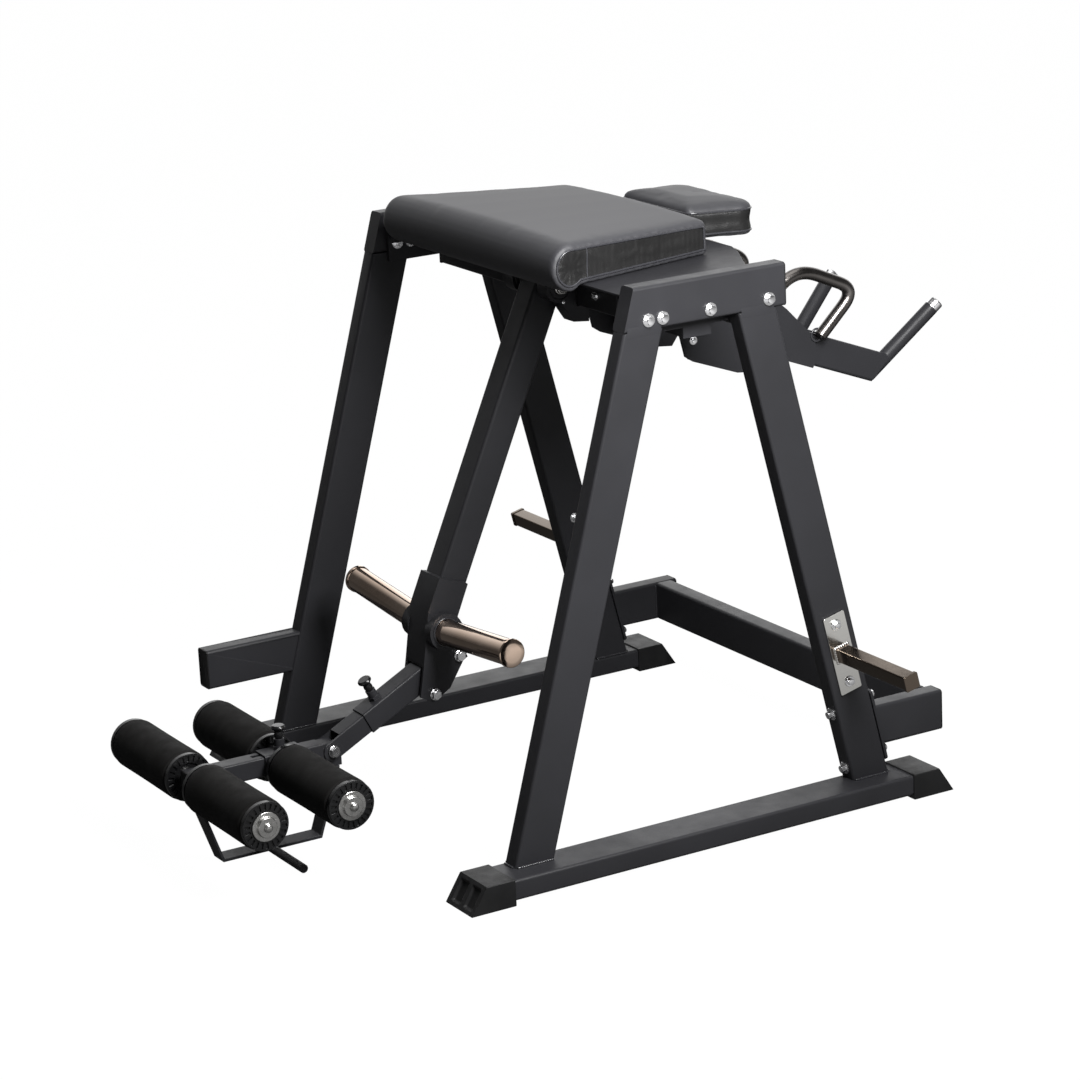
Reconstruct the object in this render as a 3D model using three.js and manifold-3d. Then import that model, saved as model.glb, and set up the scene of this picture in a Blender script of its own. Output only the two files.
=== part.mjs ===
// A reverse hyper machine: two welded side frames carry a padded table, and a pendulum
// with weight horns and a foam roller carriage swings below it.
// Lengths are millimetres and angles are degrees. +X is the right side of a user lying
// face down, +Y points to the head end, and the floor is at z = 0.

import * as THREE from "three";
import { mergeVertices } from "three/addons/utils/BufferGeometryUtils.js";
import Module from "manifold-3d";

const wasm = await Module();
wasm.setup();

// Clearances
const seam = 0.3; // between pieces that touch or are welded
const slideGap = 0.5; // between a tube and what slides in it
const runningGap = 0.4; // between a turning piece and its shaft
const boltGap = 0.3; // round the shank of a bolt

// Side frames
const frameHalfWidth = 490; // middle of the machine to the outer face of a frame
const frameHeight = 1070; // floor to the top of the side frames, from which the drops below count
const tubeWidth = 40;
const tubeDepth = 80;
const tubeWall = 3;
const tubeCorner = 6;
const frontLegToe = -605.5; // where the front face of the front leg would meet the floor
const frontLegLean = 16.26;
const rearLegHeel = 246.5; // where the rear face of the rear leg would meet the floor
const rearLegLean = 13.5;
const topTubeRear = 27;
const stepReach = 739; // the step tube's front end, measured forward from y = 0
const stepTop = 249;

// Base tubes and feet
const baseWidth = 90;
const baseHeight = 40;
const baseLift = 8; // floor to the underside of the tube
const baseInset = 3; // how far the tube shows inside the inner face of a leg
const footFront = -712;
const footRear = 350;
const footLength = 92;
const footHeight = 50.6;
const footNose = 33; // how far the end of a foot slopes in
const footWall = 3.5;
const footGrip = 46; // how far a tube reaches into its foot

// Rear frame
const stubUnder = 106;
const stubRear = 361;
const crossFront = 312; // front face of the rear cross tube
const flangeThickness = 6;
const flangeLength = 150;
const flangeBoltSpacing = 117;

// Cross beams and table
const beamSize = 60;
const beamWall = 4;
const beamCorner = 5;
const beamDrop = 58; // frame top down to the top of the cross beams
const frontBeamFront = -168;
const rearBeamFront = -38;
const endPlateThickness = 8;
const endPlateTopDrop = 32;
const endPlateLedgeDrop = 98; // below it the plate is as wide as its beam
const frontEndPlateFront = -285;
const frontEndPlateRear = -70;
const rearEndPlateFront = -44;
const rearEndPlateRear = 25;
const tableDrop = 22;
const tableThickness = 4;
const tableFront = -288;
const tableRear = 20;
const tongueRear = 96;
const tongueHalfWidth = 215;
const tongueShoulder = 262;
const tongueShoulderRear = 78;
const tongueRoot = 376;
const lipInset = 24; // table edge to the lips that stand on the beams
const lipThickness = 4;

// Bolts
const boltDrop = 62; // frame top down to the bolts through the top tubes
const frontBoltRear = -235; // the first two bolts hold the front corner
const frontBoltSpacing = 30;
const beamBoltPlace = -134;
const rearBoltPlace = -8;
const boltRadius = 6;
const hexRadius = 10;
const hexThickness = 7.5;
const washerRadius = 12;
const washerThickness = 2.5;

// Main pad
const padRear = 23;
const padRearHalfWidth = 250;
const padFrontHalfWidth = 325;
const padRearRise = 43; // frame top up to the pad's rear edge
const rollCentreY = -320;
const rollRise = 13;
const rollDepth = 40;
const rollHeight = 43.5;
const rollNeck = -281;
const padCrown = 6;
const padDraw = 4; // how far a side pulls in between its welts
const padEdge = 13;
const padTopSteps = 5;
const rollSteps = 16;
const padSliceShares = [0.7, 0.35, 0, -0.35, -0.7]; // of the half width
const neckShare = 0.5; // of the way from the rear edge to the roll's neck

// Head pad
const headFront = 62;
const headRear = 208;
const headFrontHalfWidth = 120;
const headRearHalfWidth = 133;
const headRise = 40.5;
const headUnderDrop = 20;
const headBow = 9; // how far the rear edge bows out
const headCorner = 28;
const headCrown = 7;
const headCornerSteps = 4;
const headSmallSteps = 2;
const headBowShares = [0.6, 0.2, -0.2, -0.6]; // of the straight run of the rear edge
const headSideShare = 0.4; // of the head pad's depth
const headWeltShare = 0.12; // of its height, as the next one
const headWaistShare = 0.45;
const headRimShare = 0.1; // of the crown's rise, as the next one
const headSlopeShare = 0.6;
const headSlopeInset = 42;
const headTopInset = 72;
const headTilt = 2.6;
const headBracketWidth = 160;
const headBracketThickness = 5;
const headBracketFront = 30;
const headBracketEnd = 190;
const tongueWeldShare = 0.75; // how deep the head pad's strap joins the table sheet

// Pendulum
const pivotY = -203;
const pivotDrop = 78;
const armSize = 60;
const armWall = 4;
const armCorner = 6;
const armSet = 10.2; // pivot back to the arm's centre line
const armEndY = -460.6; // where the arm's centre line ends
const armEndZ = 396;
const armHeadRadius = 32;
const armHeadBack = 27;
const armHeadTurn = 200; // degrees from the rear round to where the head's arc begins
const hubRadius = 22;
const shaftRadius = 12.5;
const shaftOverhang = 4;
const shaftHeadRadius = 11;
const shaftHeadLength = 8;
const blockInner = 46; // middle of the machine to the inner face of a bearing block
const blockOuter = 82;
const blockNose = 30;
const blockNoseTurn = 70; // degrees from the rear round to where the nose's arc begins
const blockUnderDrop = 152;
const blockHeelY = -177;
const blockFoot = 26; // how far its foot reaches back under the beam
const blockHeelDrop = 148;
const bearingRadius = 22;

// Weight bracket and horns
const bracketThickness = 6;
const bracketTopZ = 464;
const bracketBendZ = 402; // where the front edge leaves the line of the arm
const bracketCheekY = -513; // the rest of a plate's outline, from its front edge round
const bracketCheekZ = 300;
const bracketNoseY = -524;
const bracketNoseZ = 237;
const bracketChinY = -497;
const bracketChinZ = 222;
const bracketHeelY = -459;
const bracketHeelZ = 244;
const bracketBackY = -416;
const bracketBackZ = 311;
const bracketNapeY = -427;
const bracketNapeZ = 368;
const bracketNotchY = -435;
const bracketNotchZ = 381;
const bracketHornY = -409;
const bracketHornZ = 441;
const bracketPeakY = -415;
const bracketPeakZ = 446;
const hornY = -471;
const hornZ = 357;
const hornRadius = 25;
const hornReach = 305;
const hornTilt = 5;
const hornRim = 2.2;
const hornRimLength = 9;
const collarRadius = 36;
const collarLength = 24;
const upperBoltY = -436;
const upperBoltZ = 304;
const lowerBoltY = -493;
const lowerBoltZ = 238;
const bushRadius = 11;

// Lower arm
const lowerSize = 46;
const lowerWall = 2.5;
const lowerCorner = 4;
const lowerFrontEnd = 85; // carriage bolt to the front end of the outer tube, along the arm
const lowerRearOverlap = 18; // how far the outer tube runs past its bolt
const innerOverlap = 150;
const carriageBoltY = -707;
const carriageBoltZ = 165.5;
const forkRelief = 27;

// Roller carriage
const carriageSize = 38;
const carriageWall = 3;
const carriageCorner = 4;
const carriageFront = -1003;
const frontAxleY = -982.7;
const rearAxleY = -809.5;
const axleZ = 160;
const axleRadius = 10;
const hubFlangeRadius = 45;
const hubFlangeLength = 10;
const hubTubeRadius = 22;
const foamRadius = 48.5;
const foamEdge = 5;
const rollerInner = 36;
const rollerOuter = 284;
const collarFlat = 13;
const capRadius = 28;
const capStepRadius = 19;
const capThickness = 6;
const capStep = 6;
const capBoltRadius = 8;
const capBoltLength = 4;
const sleeveHalfLength = 41;
const sleeveWall = 3;
const strapWidth = 40;
const strapThickness = 6;
const strapFront = -950;
const strapRear = -743;
const strapFrontTop = -1000;
const strapRearTop = -699;
const strapRearTopZ = 141;
const pegY = -860;
const pegRadius = 8.5;
const pegReach = 176;

// Pull pins
const pinRadius = 5;
const barrelRadius = 10;
const barrelLength = 21;
const knobRadius = 14;
const knobNeck = 7.5;
const knobLength = 26;
const nutShare = 1.25; // of the barrel's radius
const knobShares = [[1.2, 0.25], [1, 0.55]]; // of the neck's radius and the knob's length
const knobHeadShares = [[0.9, 0.72], [1, 0.84], [0.85, 1]]; // of the knob's radius and length
const lowerPinPlace = 128; // carriage bolt to the pin, along the arm

// Adjustment slots
const slotForward = 80; // travel that the slot in the lower arm's inner tube allows
const slotBack = 30;
const slotRiseShare = 0.75; // of the inner tube's size: middle of the tool that cuts its slot
const sleeveForward = 50;
const sleeveBack = 25;

// Handles
const handleX = 144;
const handleArmWidth = 40;
const handleArmDepth = 60;
const handleArmWall = 3;
const handleElbowY = 471;
const handleElbowDrop = 328;
const handleArmDrop = 21.5;
const handleArmLength = 400;
const handleEndPlate = 5;
const gripRadius = 14;
const gripEndX = 179;
const gripEndY = 598;
const gripEndDrop = 209;
const gripCapLength = 17;
const plateThickness = 6;
const webThickness = 4;
const plateTopFront = -14; // the outline of a bracket plate, from its top front corner round
const plateNeckY = -1;
const plateNeckDrop = 173;
const plateChinY = 13;
const plateChinDrop = 231;
const plateFootY = 31;
const plateFootDrop = 243;
const plateHeelY = 129;
const plateHeelDrop = 280;
const plateToeY = 165;
const plateToeDrop = 284;
const plateLipY = 188;
const plateTipReach = 16;
const plateTipRise = 27;
const plateEndRise = 66;
const plateShoulderY = 246;
const plateTopRear = 181;
const innerPlateFront = 50; // the inner plate starts further back than the outer one
const webFrontShare = 0.88; // shares of the arm's length, measured from the elbow
const webRearShare = 0.43;
const plateEndShare = 0.415;
const loopRadius = 12.5;
const loopFootY = 197;
const loopFootDrop = 151;
const loopBrowY = 253;
const loopBrowDrop = 89;
const loopNoseY = 400;
const loopNoseDrop = 154;
const loopHeelY = 314;
const loopHeelDrop = 235;
const loopBrowRadius = 85;
const loopNoseRadius = 28;

// Storage pegs
const pegPlateY = 131.7;
const pegPlateZ = 308.6;
const pegPlateWidth = 48;
const pegPlateLength = 162;
const pegPlateThickness = 4;
const pegBoltSpacing = 120;
const storagePegSize = 28;
const storagePegWall = 3;
const storagePegReach = 712;
const pegCapRim = 1.5;
const pegCapLength = 7;

// Smoothness
const cornerSteps = 3;
const hexSides = 6;
const arcSteps = 8;
const shankSides = 8;
const washerSides = 12;
const rollerSides = 24;
const hornSides = 24;
const loopSides = 10;
const loopSteps = 32;

// Finishes of the photograph
const blackSteel = { color: 0x3b3b3e, roughness: 0.45, metalness: 0.5 };
const blackPlastic = { color: 0x1c1c1e, roughness: 0.6, metalness: 0 };
const blackLeather = { color: 0x2b2b30, roughness: 0.5, metalness: 0 };
const blackFoam = { color: 0x2a2829, roughness: 0.85, metalness: 0 };
const chrome = { color: 0xd0c8c0, roughness: 0.08, metalness: 1 };
const nickel = { color: 0xb9b2a8, roughness: 0.3, metalness: 1 };
const zinc = { color: 0xd4d4d6, roughness: 0.35, metalness: 1 };
const stainless = { color: 0xa9a29c, roughness: 0.3, metalness: 1 };

const X = new THREE.Vector3(1, 0, 0);
const Y = new THREE.Vector3(0, 1, 0);
const Z = new THREE.Vector3(0, 0, 1);
const at = (x, y, z) => new THREE.Vector3(x, y, z);
const radians = THREE.MathUtils.degToRad;
const tan = (angle) => Math.tan(radians(angle));
const cos = (angle) => Math.cos(radians(angle));
const sin = (angle) => Math.sin(radians(angle));

// A closed solid: shared corners, no empty triangles, faces turned outwards
function solid(source) {
  const bare = source.clone();
  for (const extra of ["normal", "uv", "uv1"]) {
    bare.deleteAttribute(extra);
  }
  bare.clearGroups();
  const merged = mergeVertices(bare);
  const kept = [];
  for (let i = 0; i < merged.index.count; i += 3) {
    const [a, b, c] = [0, 1, 2].map((step) => merged.index.getX(i + step));
    if (a !== b && b !== c && c !== a) {
      kept.push(a, b, c);
    }
  }
  merged.setIndex(kept);
  return volumeOf(merged) < 0 ? turnedInsideOut(merged) : merged;
}

function volumeOf(geometry) {
  const place = geometry.attributes.position;
  const corner = (i) => new THREE.Vector3().fromBufferAttribute(place, geometry.index.getX(i));
  let sum = 0;
  for (let i = 0; i < geometry.index.count; i += 3) {
    sum += corner(i).dot(corner(i + 1).cross(corner(i + 2)));
  }
  return sum / 6;
}

function turnedInsideOut(geometry) {
  const index = geometry.index.array;
  const flipped = [];
  for (let i = 0; i < index.length; i += 3) {
    flipped.push(index[i], index[i + 2], index[i + 1]);
  }
  geometry.setIndex(flipped);
  return geometry;
}

function mirrored(geometry) {
  return solid(geometry.clone().applyMatrix4(new THREE.Matrix4().makeScale(-1, 1, 1)));
}

function toManifold(geometry) {
  const body = solid(geometry);
  return new wasm.Manifold(new wasm.Mesh({
    numProp: 3,
    vertProperties: new Float32Array(body.attributes.position.array),
    triVerts: new Uint32Array(body.index.array),
  }));
}

function fromManifold(manifold) {
  const mesh = manifold.getMesh();
  const geometry = new THREE.BufferGeometry();
  geometry.setAttribute("position", new THREE.BufferAttribute(mesh.vertProperties, 3));
  geometry.setIndex(new THREE.BufferAttribute(mesh.triVerts, 1));
  return solid(geometry);
}

function cut(body, ...tools) {
  return fromManifold(tools.reduce((rest, tool) => rest.subtract(toManifold(tool)), toManifold(body)));
}

function fuse(first, ...others) {
  return fromManifold(others.reduce((sum, other) => sum.add(toManifold(other)), toManifold(first)));
}

function keep(body, tool) {
  return fromManifold(toManifold(body).intersect(toManifold(tool)));
}

// Outlines
function polygon(points) {
  return new THREE.Shape(points.map(([a, b]) => new THREE.Vector2(a, b)));
}

function circlePoints(radius, sides, centreA = 0, centreB = 0) {
  return Array.from({ length: sides }, (_, i) => {
    const turn = ((i + 0.5) * 2 * Math.PI) / sides;
    return [centreA + radius * Math.cos(turn), centreB + radius * Math.sin(turn)];
  });
}

function arcPoints(centreA, centreB, radius, from, to, steps) {
  return Array.from({ length: steps + 1 }, (_, i) => {
    const turn = from + ((to - from) * i) / steps;
    return [centreA + radius * cos(turn), centreB + radius * sin(turn)];
  });
}

function roundedPoints(width, height, radius) {
  const a = width / 2 - radius;
  const b = height / 2 - radius;
  return [
    ...arcPoints(a, b, radius, 0, 90, cornerSteps),
    ...arcPoints(-a, b, radius, 90, 180, cornerSteps),
    ...arcPoints(-a, -b, radius, 180, 270, cornerSteps),
    ...arcPoints(a, -b, radius, 270, 360, cornerSteps),
  ];
}

function boxSection(width, height, radius) {
  return polygon(roundedPoints(width, height, radius));
}

function tubeSection(width, height, radius, wall) {
  const section = boxSection(width, height, radius);
  section.holes.push(boxSection(width - 2 * wall, height - 2 * wall, radius - wall / 2));
  return section;
}

// A section carried from start to end, its own x axis along across
function beam(section, start, end, across = X) {
  const along = end.clone().sub(start);
  const depth = along.length();
  along.normalize();
  const up = along.clone().cross(across);
  const geometry = new THREE.ExtrudeGeometry(section, { depth, bevelEnabled: false });
  return solid(geometry.applyMatrix4(new THREE.Matrix4().makeBasis(across, up, along).setPosition(start)));
}

// A plate whose outline lies in a plane x = constant, given as y and z
function sidePlate(outline, fromX, toX) {
  const geometry = new THREE.ExtrudeGeometry(outline, { depth: toX - fromX, bevelEnabled: false });
  return solid(geometry.applyMatrix4(new THREE.Matrix4().makeBasis(Y, Z, X).setPosition(fromX, 0, 0)));
}

// A plate whose outline lies in a level plane, given as x and y
function levelPlate(outline, fromZ, toZ) {
  const geometry = new THREE.ExtrudeGeometry(outline, { depth: toZ - fromZ, bevelEnabled: false });
  return solid(geometry.translate(0, 0, fromZ));
}

function block(fromX, toX, fromY, toY, fromZ, toZ) {
  const outline = polygon([[fromX, fromY], [toX, fromY], [toX, toY], [fromX, toY]]);
  return levelPlate(outline, fromZ, toZ);
}

// A profile of radius and distance, turned about the line from start along direction
function turned(profile, start, direction, sides) {
  const points = profile.map(([radius, along]) => new THREE.Vector2(radius, along));
  const geometry = new THREE.LatheGeometry(points, sides);
  const turn = new THREE.Quaternion().setFromUnitVectors(Y, direction.clone().normalize());
  return solid(geometry.applyQuaternion(turn).translate(start.x, start.y, start.z));
}

function rod(start, end, radius, sides) {
  const along = end.clone().sub(start);
  const length = along.length();
  return turned([[0, 0], [radius, 0], [radius, length], [0, length]], start, along, sides);
}

// A through bolt: head and washer at start, washer and nut at end
function throughBolt(start, end) {
  const along = end.clone().sub(start).normalize();
  const off = (point, distance) => point.clone().addScaledVector(along, distance);
  const face = washerThickness + seam;
  return fuse(
    rod(off(start, -face), off(end, face), boltRadius, shankSides),
    rod(off(start, -face), off(start, -seam), washerRadius, washerSides),
    rod(off(end, seam), off(end, face), washerRadius, washerSides),
    rod(off(start, -face - hexThickness), off(start, -face), hexRadius, hexSides),
    rod(off(end, face), off(end, face + hexThickness), hexRadius, hexSides),
  );
}

function boltHole(start, end) {
  const along = end.clone().sub(start);
  const extra = along.clone().normalize().multiplyScalar(tubeWidth);
  return rod(start.clone().sub(extra), end.clone().add(extra), boltRadius + boltGap, shankSides);
}

// Places that several pieces share
const boltHeight = frameHeight - boltDrop;
const beamTop = frameHeight - beamDrop;
const tableTop = frameHeight - tableDrop;
const pivotZ = frameHeight - pivotDrop;
const padRearTop = frameHeight + padRearRise;
const rollCentreZ = frameHeight + rollRise;
const headTop = frameHeight + headRise;
const headUnder = frameHeight - headUnderDrop;
const frameInner = frameHalfWidth - tubeWidth;
const frameMiddle = frameHalfWidth - tubeWidth / 2;
const baseTop = baseLift + baseHeight;
const topTubeUnder = frameHeight - tubeDepth;
const frontLegFrontAt = (z) => frontLegToe + z * tan(frontLegLean);
const rearLegRearAt = (z) => rearLegHeel - z * tan(rearLegLean);
const rearLegAlong = at(0, -sin(rearLegLean), cos(rearLegLean));
const rearLegBack = at(0, cos(rearLegLean), sin(rearLegLean));
const stubMiddle = stubUnder + tubeDepth / 2;
const flangeCentre = at(frameMiddle, rearLegRearAt(stubMiddle), stubMiddle);
const beamUnder = beamTop - beamSize;
const armSlope = (pivotY + armSet - armEndY) / (pivotZ - armEndZ);
const armAt = (z) => at(0, armEndY + (z - armEndZ) * armSlope, z);
const armFrontAt = (z) => armAt(z).y - (armSize / 2) * Math.hypot(1, armSlope);
const carriageBolt = at(0, carriageBoltY, carriageBoltZ);
const upperBolt = at(0, upperBoltY, upperBoltZ);
const lowerUp = upperBolt.clone().sub(carriageBolt).normalize();
const lowerNormal = at(0, -lowerUp.z, lowerUp.y);
const onLowerArm = (distance) => carriageBolt.clone().addScaledVector(lowerUp, distance);
const lowerInnerSize = lowerSize - 2 * (lowerWall + slideGap);
const sleeveSize = carriageSize + 2 * (slideGap + sleeveWall);
const handleAlong = at(0, cos(handleArmDrop), -sin(handleArmDrop));
const handleNormal = at(0, sin(handleArmDrop), cos(handleArmDrop));
const handleElbow = at(handleX, handleElbowY, frameHeight - handleElbowDrop);
const gripEnd = at(gripEndX, gripEndY, frameHeight - gripEndDrop);
const onHandleArm = (back, rise = 0) =>
  handleElbow.clone().addScaledVector(handleAlong, -back).addScaledVector(handleNormal, rise);
const plateInner = handleArmWidth / 2 + slideGap;
const plateOuterX = handleX + plateInner + plateThickness;

const tableBoltPlaces = [frontBoltRear - frontBoltSpacing, frontBoltRear, beamBoltPlace, rearBoltPlace];

function tableBoltLine(y) {
  return [at(frameHalfWidth, y, boltHeight), at(frameInner - endPlateThickness, y, boltHeight)];
}

function flangeBoltLines() {
  return [-1, 1].map((way) => {
    const centre = flangeCentre.clone().addScaledVector(rearLegAlong, (way * flangeBoltSpacing) / 2);
    return [
      centre.clone().addScaledVector(rearLegBack, -tubeDepth),
      centre.clone().addScaledVector(rearLegBack, flangeThickness),
    ];
  });
}

function pegBoltLines() {
  const centre = at(frameHalfWidth, pegPlateY, pegPlateZ);
  return [-1, 1].map((way) => {
    const outer = centre.clone().addScaledVector(rearLegAlong, (way * pegBoltSpacing) / 2);
    return [
      outer.clone().addScaledVector(X, pegPlateThickness),
      outer.clone().addScaledVector(X, -tubeWidth),
    ];
  });
}

// Side frame
function baseTube() {
  const middle = frameInner - baseInset + baseWidth / 2;
  const height = baseLift + baseHeight / 2;
  const section = tubeSection(baseWidth, baseHeight, tubeCorner, tubeWall);
  const front = footFront + footLength - footGrip;
  const rear = footRear - footLength + footGrip;
  return beam(section, at(middle, front, height), at(middle, rear, height));
}

// A leg is an upright tube that is leaned by a shear, so its ends stay level
function leaningTube(centreAtFloor, lean) {
  const section = tubeSection(tubeWidth, tubeDepth / cos(lean), tubeCorner, tubeWall);
  const upright = new THREE.ExtrudeGeometry(section, {
    depth: topTubeUnder - baseTop - 2 * seam,
    bevelEnabled: false,
  });
  upright.translate(frameMiddle, centreAtFloor, baseTop + seam);
  upright.applyMatrix4(new THREE.Matrix4().makeShear(0, 0, 0, 0, 0, tan(lean)));
  return solid(upright);
}

function frontLeg() {
  return leaningTube(frontLegToe + tubeDepth / cos(frontLegLean) / 2, frontLegLean);
}

function stepTube() {
  const height = stepTop - tubeDepth / 2;
  const section = tubeSection(tubeWidth, tubeDepth, tubeCorner, tubeWall);
  const rear = frontLegFrontAt(stepTop) + tubeDepth / 2;
  const tube = beam(section, at(frameMiddle, -stepReach, height), at(frameMiddle, rear, height));
  const sideOfLeg = polygon([
    [-stepReach - tubeDepth, stepTop + tubeDepth],
    [-stepReach - tubeDepth, stepTop - 2 * tubeDepth],
    [frontLegFrontAt(stepTop - 2 * tubeDepth), stepTop - 2 * tubeDepth],
    [frontLegFrontAt(stepTop + tubeDepth), stepTop + tubeDepth],
  ]);
  return keep(tube, sidePlate(sideOfLeg, 0, 2 * frameHalfWidth));
}

function rearLeg() {
  const leg = leaningTube(rearLegHeel - tubeDepth / cos(rearLegLean) / 2, -rearLegLean);
  return cut(leg, ...[...flangeBoltLines(), ...pegBoltLines()].map(([a, b]) => boltHole(a, b)));
}

function topTube() {
  const height = frameHeight - tubeDepth / 2;
  const section = tubeSection(tubeWidth, tubeDepth, tubeCorner, tubeWall);
  const front = frontLegFrontAt(topTubeUnder);
  const tube = beam(section, at(frameMiddle, front, height), at(frameMiddle, topTubeRear, height));
  const frontTop = frontLegFrontAt(frameHeight);
  const slope = polygon([
    [front, topTubeUnder],
    [topTubeRear, topTubeUnder],
    [topTubeRear, frameHeight],
    [frontTop, frameHeight],
  ]);
  const wall = tubeWall / cos(frontLegLean);
  const strip = polygon([
    [front, topTubeUnder],
    [front + wall, topTubeUnder],
    [frontTop + wall, frameHeight],
    [frontTop, frameHeight],
  ]);
  const bar = beam(
    boxSection(tubeWidth, tubeDepth, tubeCorner),
    at(frameMiddle, front, height), at(frameMiddle, topTubeRear, height),
  );
  const open = keep(tube, sidePlate(slope, 0, 2 * frameHalfWidth));
  const face = keep(bar, sidePlate(strip, 0, 2 * frameHalfWidth));
  const holes = tableBoltPlaces.map((y) => boltHole(...tableBoltLine(y)));
  return cut(fuse(open, face), ...holes);
}

function frontFoot() {
  const inner = frameInner - baseInset;
  const outer = inner + baseWidth;
  const rear = footFront + footLength;
  const outline = polygon([[footFront, 0], [rear, 0], [rear, footHeight], [footFront + footNose, footHeight]]);
  const shell = sidePlate(outline, inner - footWall, outer + footWall);
  const pocket = block(
    inner - seam, outer + seam,
    rear - footGrip - seam, rear + footGrip,
    baseLift - seam, baseTop + seam,
  );
  return cut(shell, pocket);
}

function rearFoot() {
  const middle = (footFront + footRear) / 2;
  const foot = frontFoot().translate(0, -middle, 0);
  foot.applyMatrix4(new THREE.Matrix4().makeScale(1, -1, 1));
  return solid(foot.translate(0, middle, 0));
}

// Rear frame
function rearStub() {
  const section = tubeSection(tubeWidth, tubeDepth, tubeCorner, tubeWall);
  const tube = beam(section, at(frameMiddle, 0, stubMiddle), at(frameMiddle, stubRear, stubMiddle));
  const flangeFace = flangeCentre.clone().addScaledVector(rearLegBack, seam);
  const flange = beam(
    boxSection(tubeWidth, flangeLength, tubeCorner),
    flangeFace,
    flangeFace.clone().addScaledVector(rearLegBack, flangeThickness - seam),
  );
  const behind = (z) => rearLegRearAt(z) + (flangeThickness / 2) / cos(rearLegLean);
  const low = stubUnder - tubeDepth;
  const high = stubUnder + 2 * tubeDepth;
  const rearOfFlange = polygon([[behind(low), low], [stubRear, low], [stubRear, high], [behind(high), high]]);
  const mitred = keep(tube, sidePlate(rearOfFlange, 0, 2 * frameHalfWidth));
  return cut(fuse(flange, mitred), ...flangeBoltLines().map(([a, b]) => boltHole(a, b)));
}

function rearCrossTube() {
  const section = tubeSection(tubeWidth, tubeDepth, tubeCorner, tubeWall);
  const y = crossFront + tubeWidth / 2;
  const half = frameInner - seam;
  return beam(section, at(-half, y, stubMiddle), at(half, y, stubMiddle), Y);
}

// Cross beams with welded end plates
function crossBeam(front, plateFront, plateRear, boltPlaces) {
  const section = tubeSection(beamSize, beamSize, beamCorner, beamWall);
  const rear = front + beamSize;
  const y = (front + rear) / 2;
  const z = beamTop - beamSize / 2;
  const plateFace = frameInner - endPlateThickness;
  const high = frameHeight - endPlateTopDrop;
  const ledge = frameHeight - endPlateLedgeDrop;
  const tube = beam(section, at(-plateFace, y, z), at(plateFace, y, z), Y);
  const outline = polygon([
    [plateFront, high],
    [plateFront, ledge],
    [front, ledge],
    [front, beamUnder],
    [rear, beamUnder],
    [rear, ledge],
    [plateRear, ledge],
    [plateRear, high],
  ]);
  const plate = sidePlate(outline, plateFace, frameInner - seam);
  const holes = boltPlaces.map((place) => boltHole(...tableBoltLine(place)));
  const drilled = cut(plate, ...holes);
  return fuse(tube, drilled, mirrored(drilled));
}

function frontCrossBeam() {
  return crossBeam(frontBeamFront, frontEndPlateFront, frontEndPlateRear, tableBoltPlaces.slice(0, 3));
}

function rearCrossBeam() {
  return crossBeam(rearBeamFront, rearEndPlateFront, rearEndPlateRear, tableBoltPlaces.slice(3));
}

function tablePlate() {
  const edge = frameInner - seam;
  const half = [
    [edge, tableFront],
    [edge, tableRear],
    [tongueRoot, tableRear],
    [tongueShoulder, tongueShoulderRear],
    [tongueHalfWidth, tongueRear],
  ];
  const outline = polygon([...half, ...half.map(([x, y]) => [-x, y]).reverse()]);
  const sheet = levelPlate(outline, tableTop - tableThickness, tableTop);
  const lip = block(
    edge - lipInset - lipThickness, edge - lipInset,
    tableFront, tableRear,
    beamTop + seam, tableTop - tableThickness / 2,
  );
  return fuse(sheet, lip, mirrored(lip), headPadBracket());
}

// Pads
function ringsToSolid(rings) {
  const count = rings[0].length;
  const points = rings.flat();
  const faces = [];
  for (let r = 0; r + 1 < rings.length; r += 1) {
    for (let i = 0; i < count; i += 1) {
      const a = r * count + i;
      const b = r * count + ((i + 1) % count);
      faces.push(a, b, b + count, a, b + count, a + count);
    }
  }
  for (const [start, ring] of [[0, rings[0]], [points.length - count, rings.at(-1)]]) {
    const middle = ring.reduce((sum, point) => sum.add(point), at(0, 0, 0)).divideScalar(count);
    points.push(middle);
    for (let i = 0; i < count; i += 1) {
      const a = start + i;
      const b = start + ((i + 1) % count);
      faces.push(...(start === 0 ? [points.length - 1, b, a] : [points.length - 1, a, b]));
    }
  }
  const geometry = new THREE.BufferGeometry().setFromPoints(points);
  geometry.setIndex(faces);
  return solid(geometry);
}

// The side view of the main pad, with the roll at its front
function mainPadProfile() {
  const under = tableTop + seam;
  const meet = (Math.asin((under - rollCentreZ) / rollHeight) * 180) / Math.PI;
  const roll = Array.from({ length: rollSteps + 1 }, (_, i) => {
    const turn = meet - ((meet + 270) * i) / rollSteps;
    return [rollCentreY + rollDepth * cos(turn), rollCentreZ + rollHeight * sin(turn)];
  });
  const rollTop = rollCentreZ + rollHeight;
  const top = Array.from({ length: padTopSteps }, (_, i) => {
    const share = (i + 1) / (padTopSteps + 1);
    return [rollCentreY + (padRear - padEdge - rollCentreY) * share, rollTop + (padRearTop - rollTop) * share];
  });
  const rearTop = arcPoints(padRear - padEdge, padRearTop - padEdge, padEdge, 90, 0, cornerSteps);
  const low = padEdge / 2;
  const rearLow = arcPoints(padRear - low, under + low, low, 0, -90, 1);
  const middle = [rollNeck * neckShare, under];
  return [...roll, ...top, ...rearTop, ...rearLow, middle, [rollNeck, under]];
}

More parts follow.
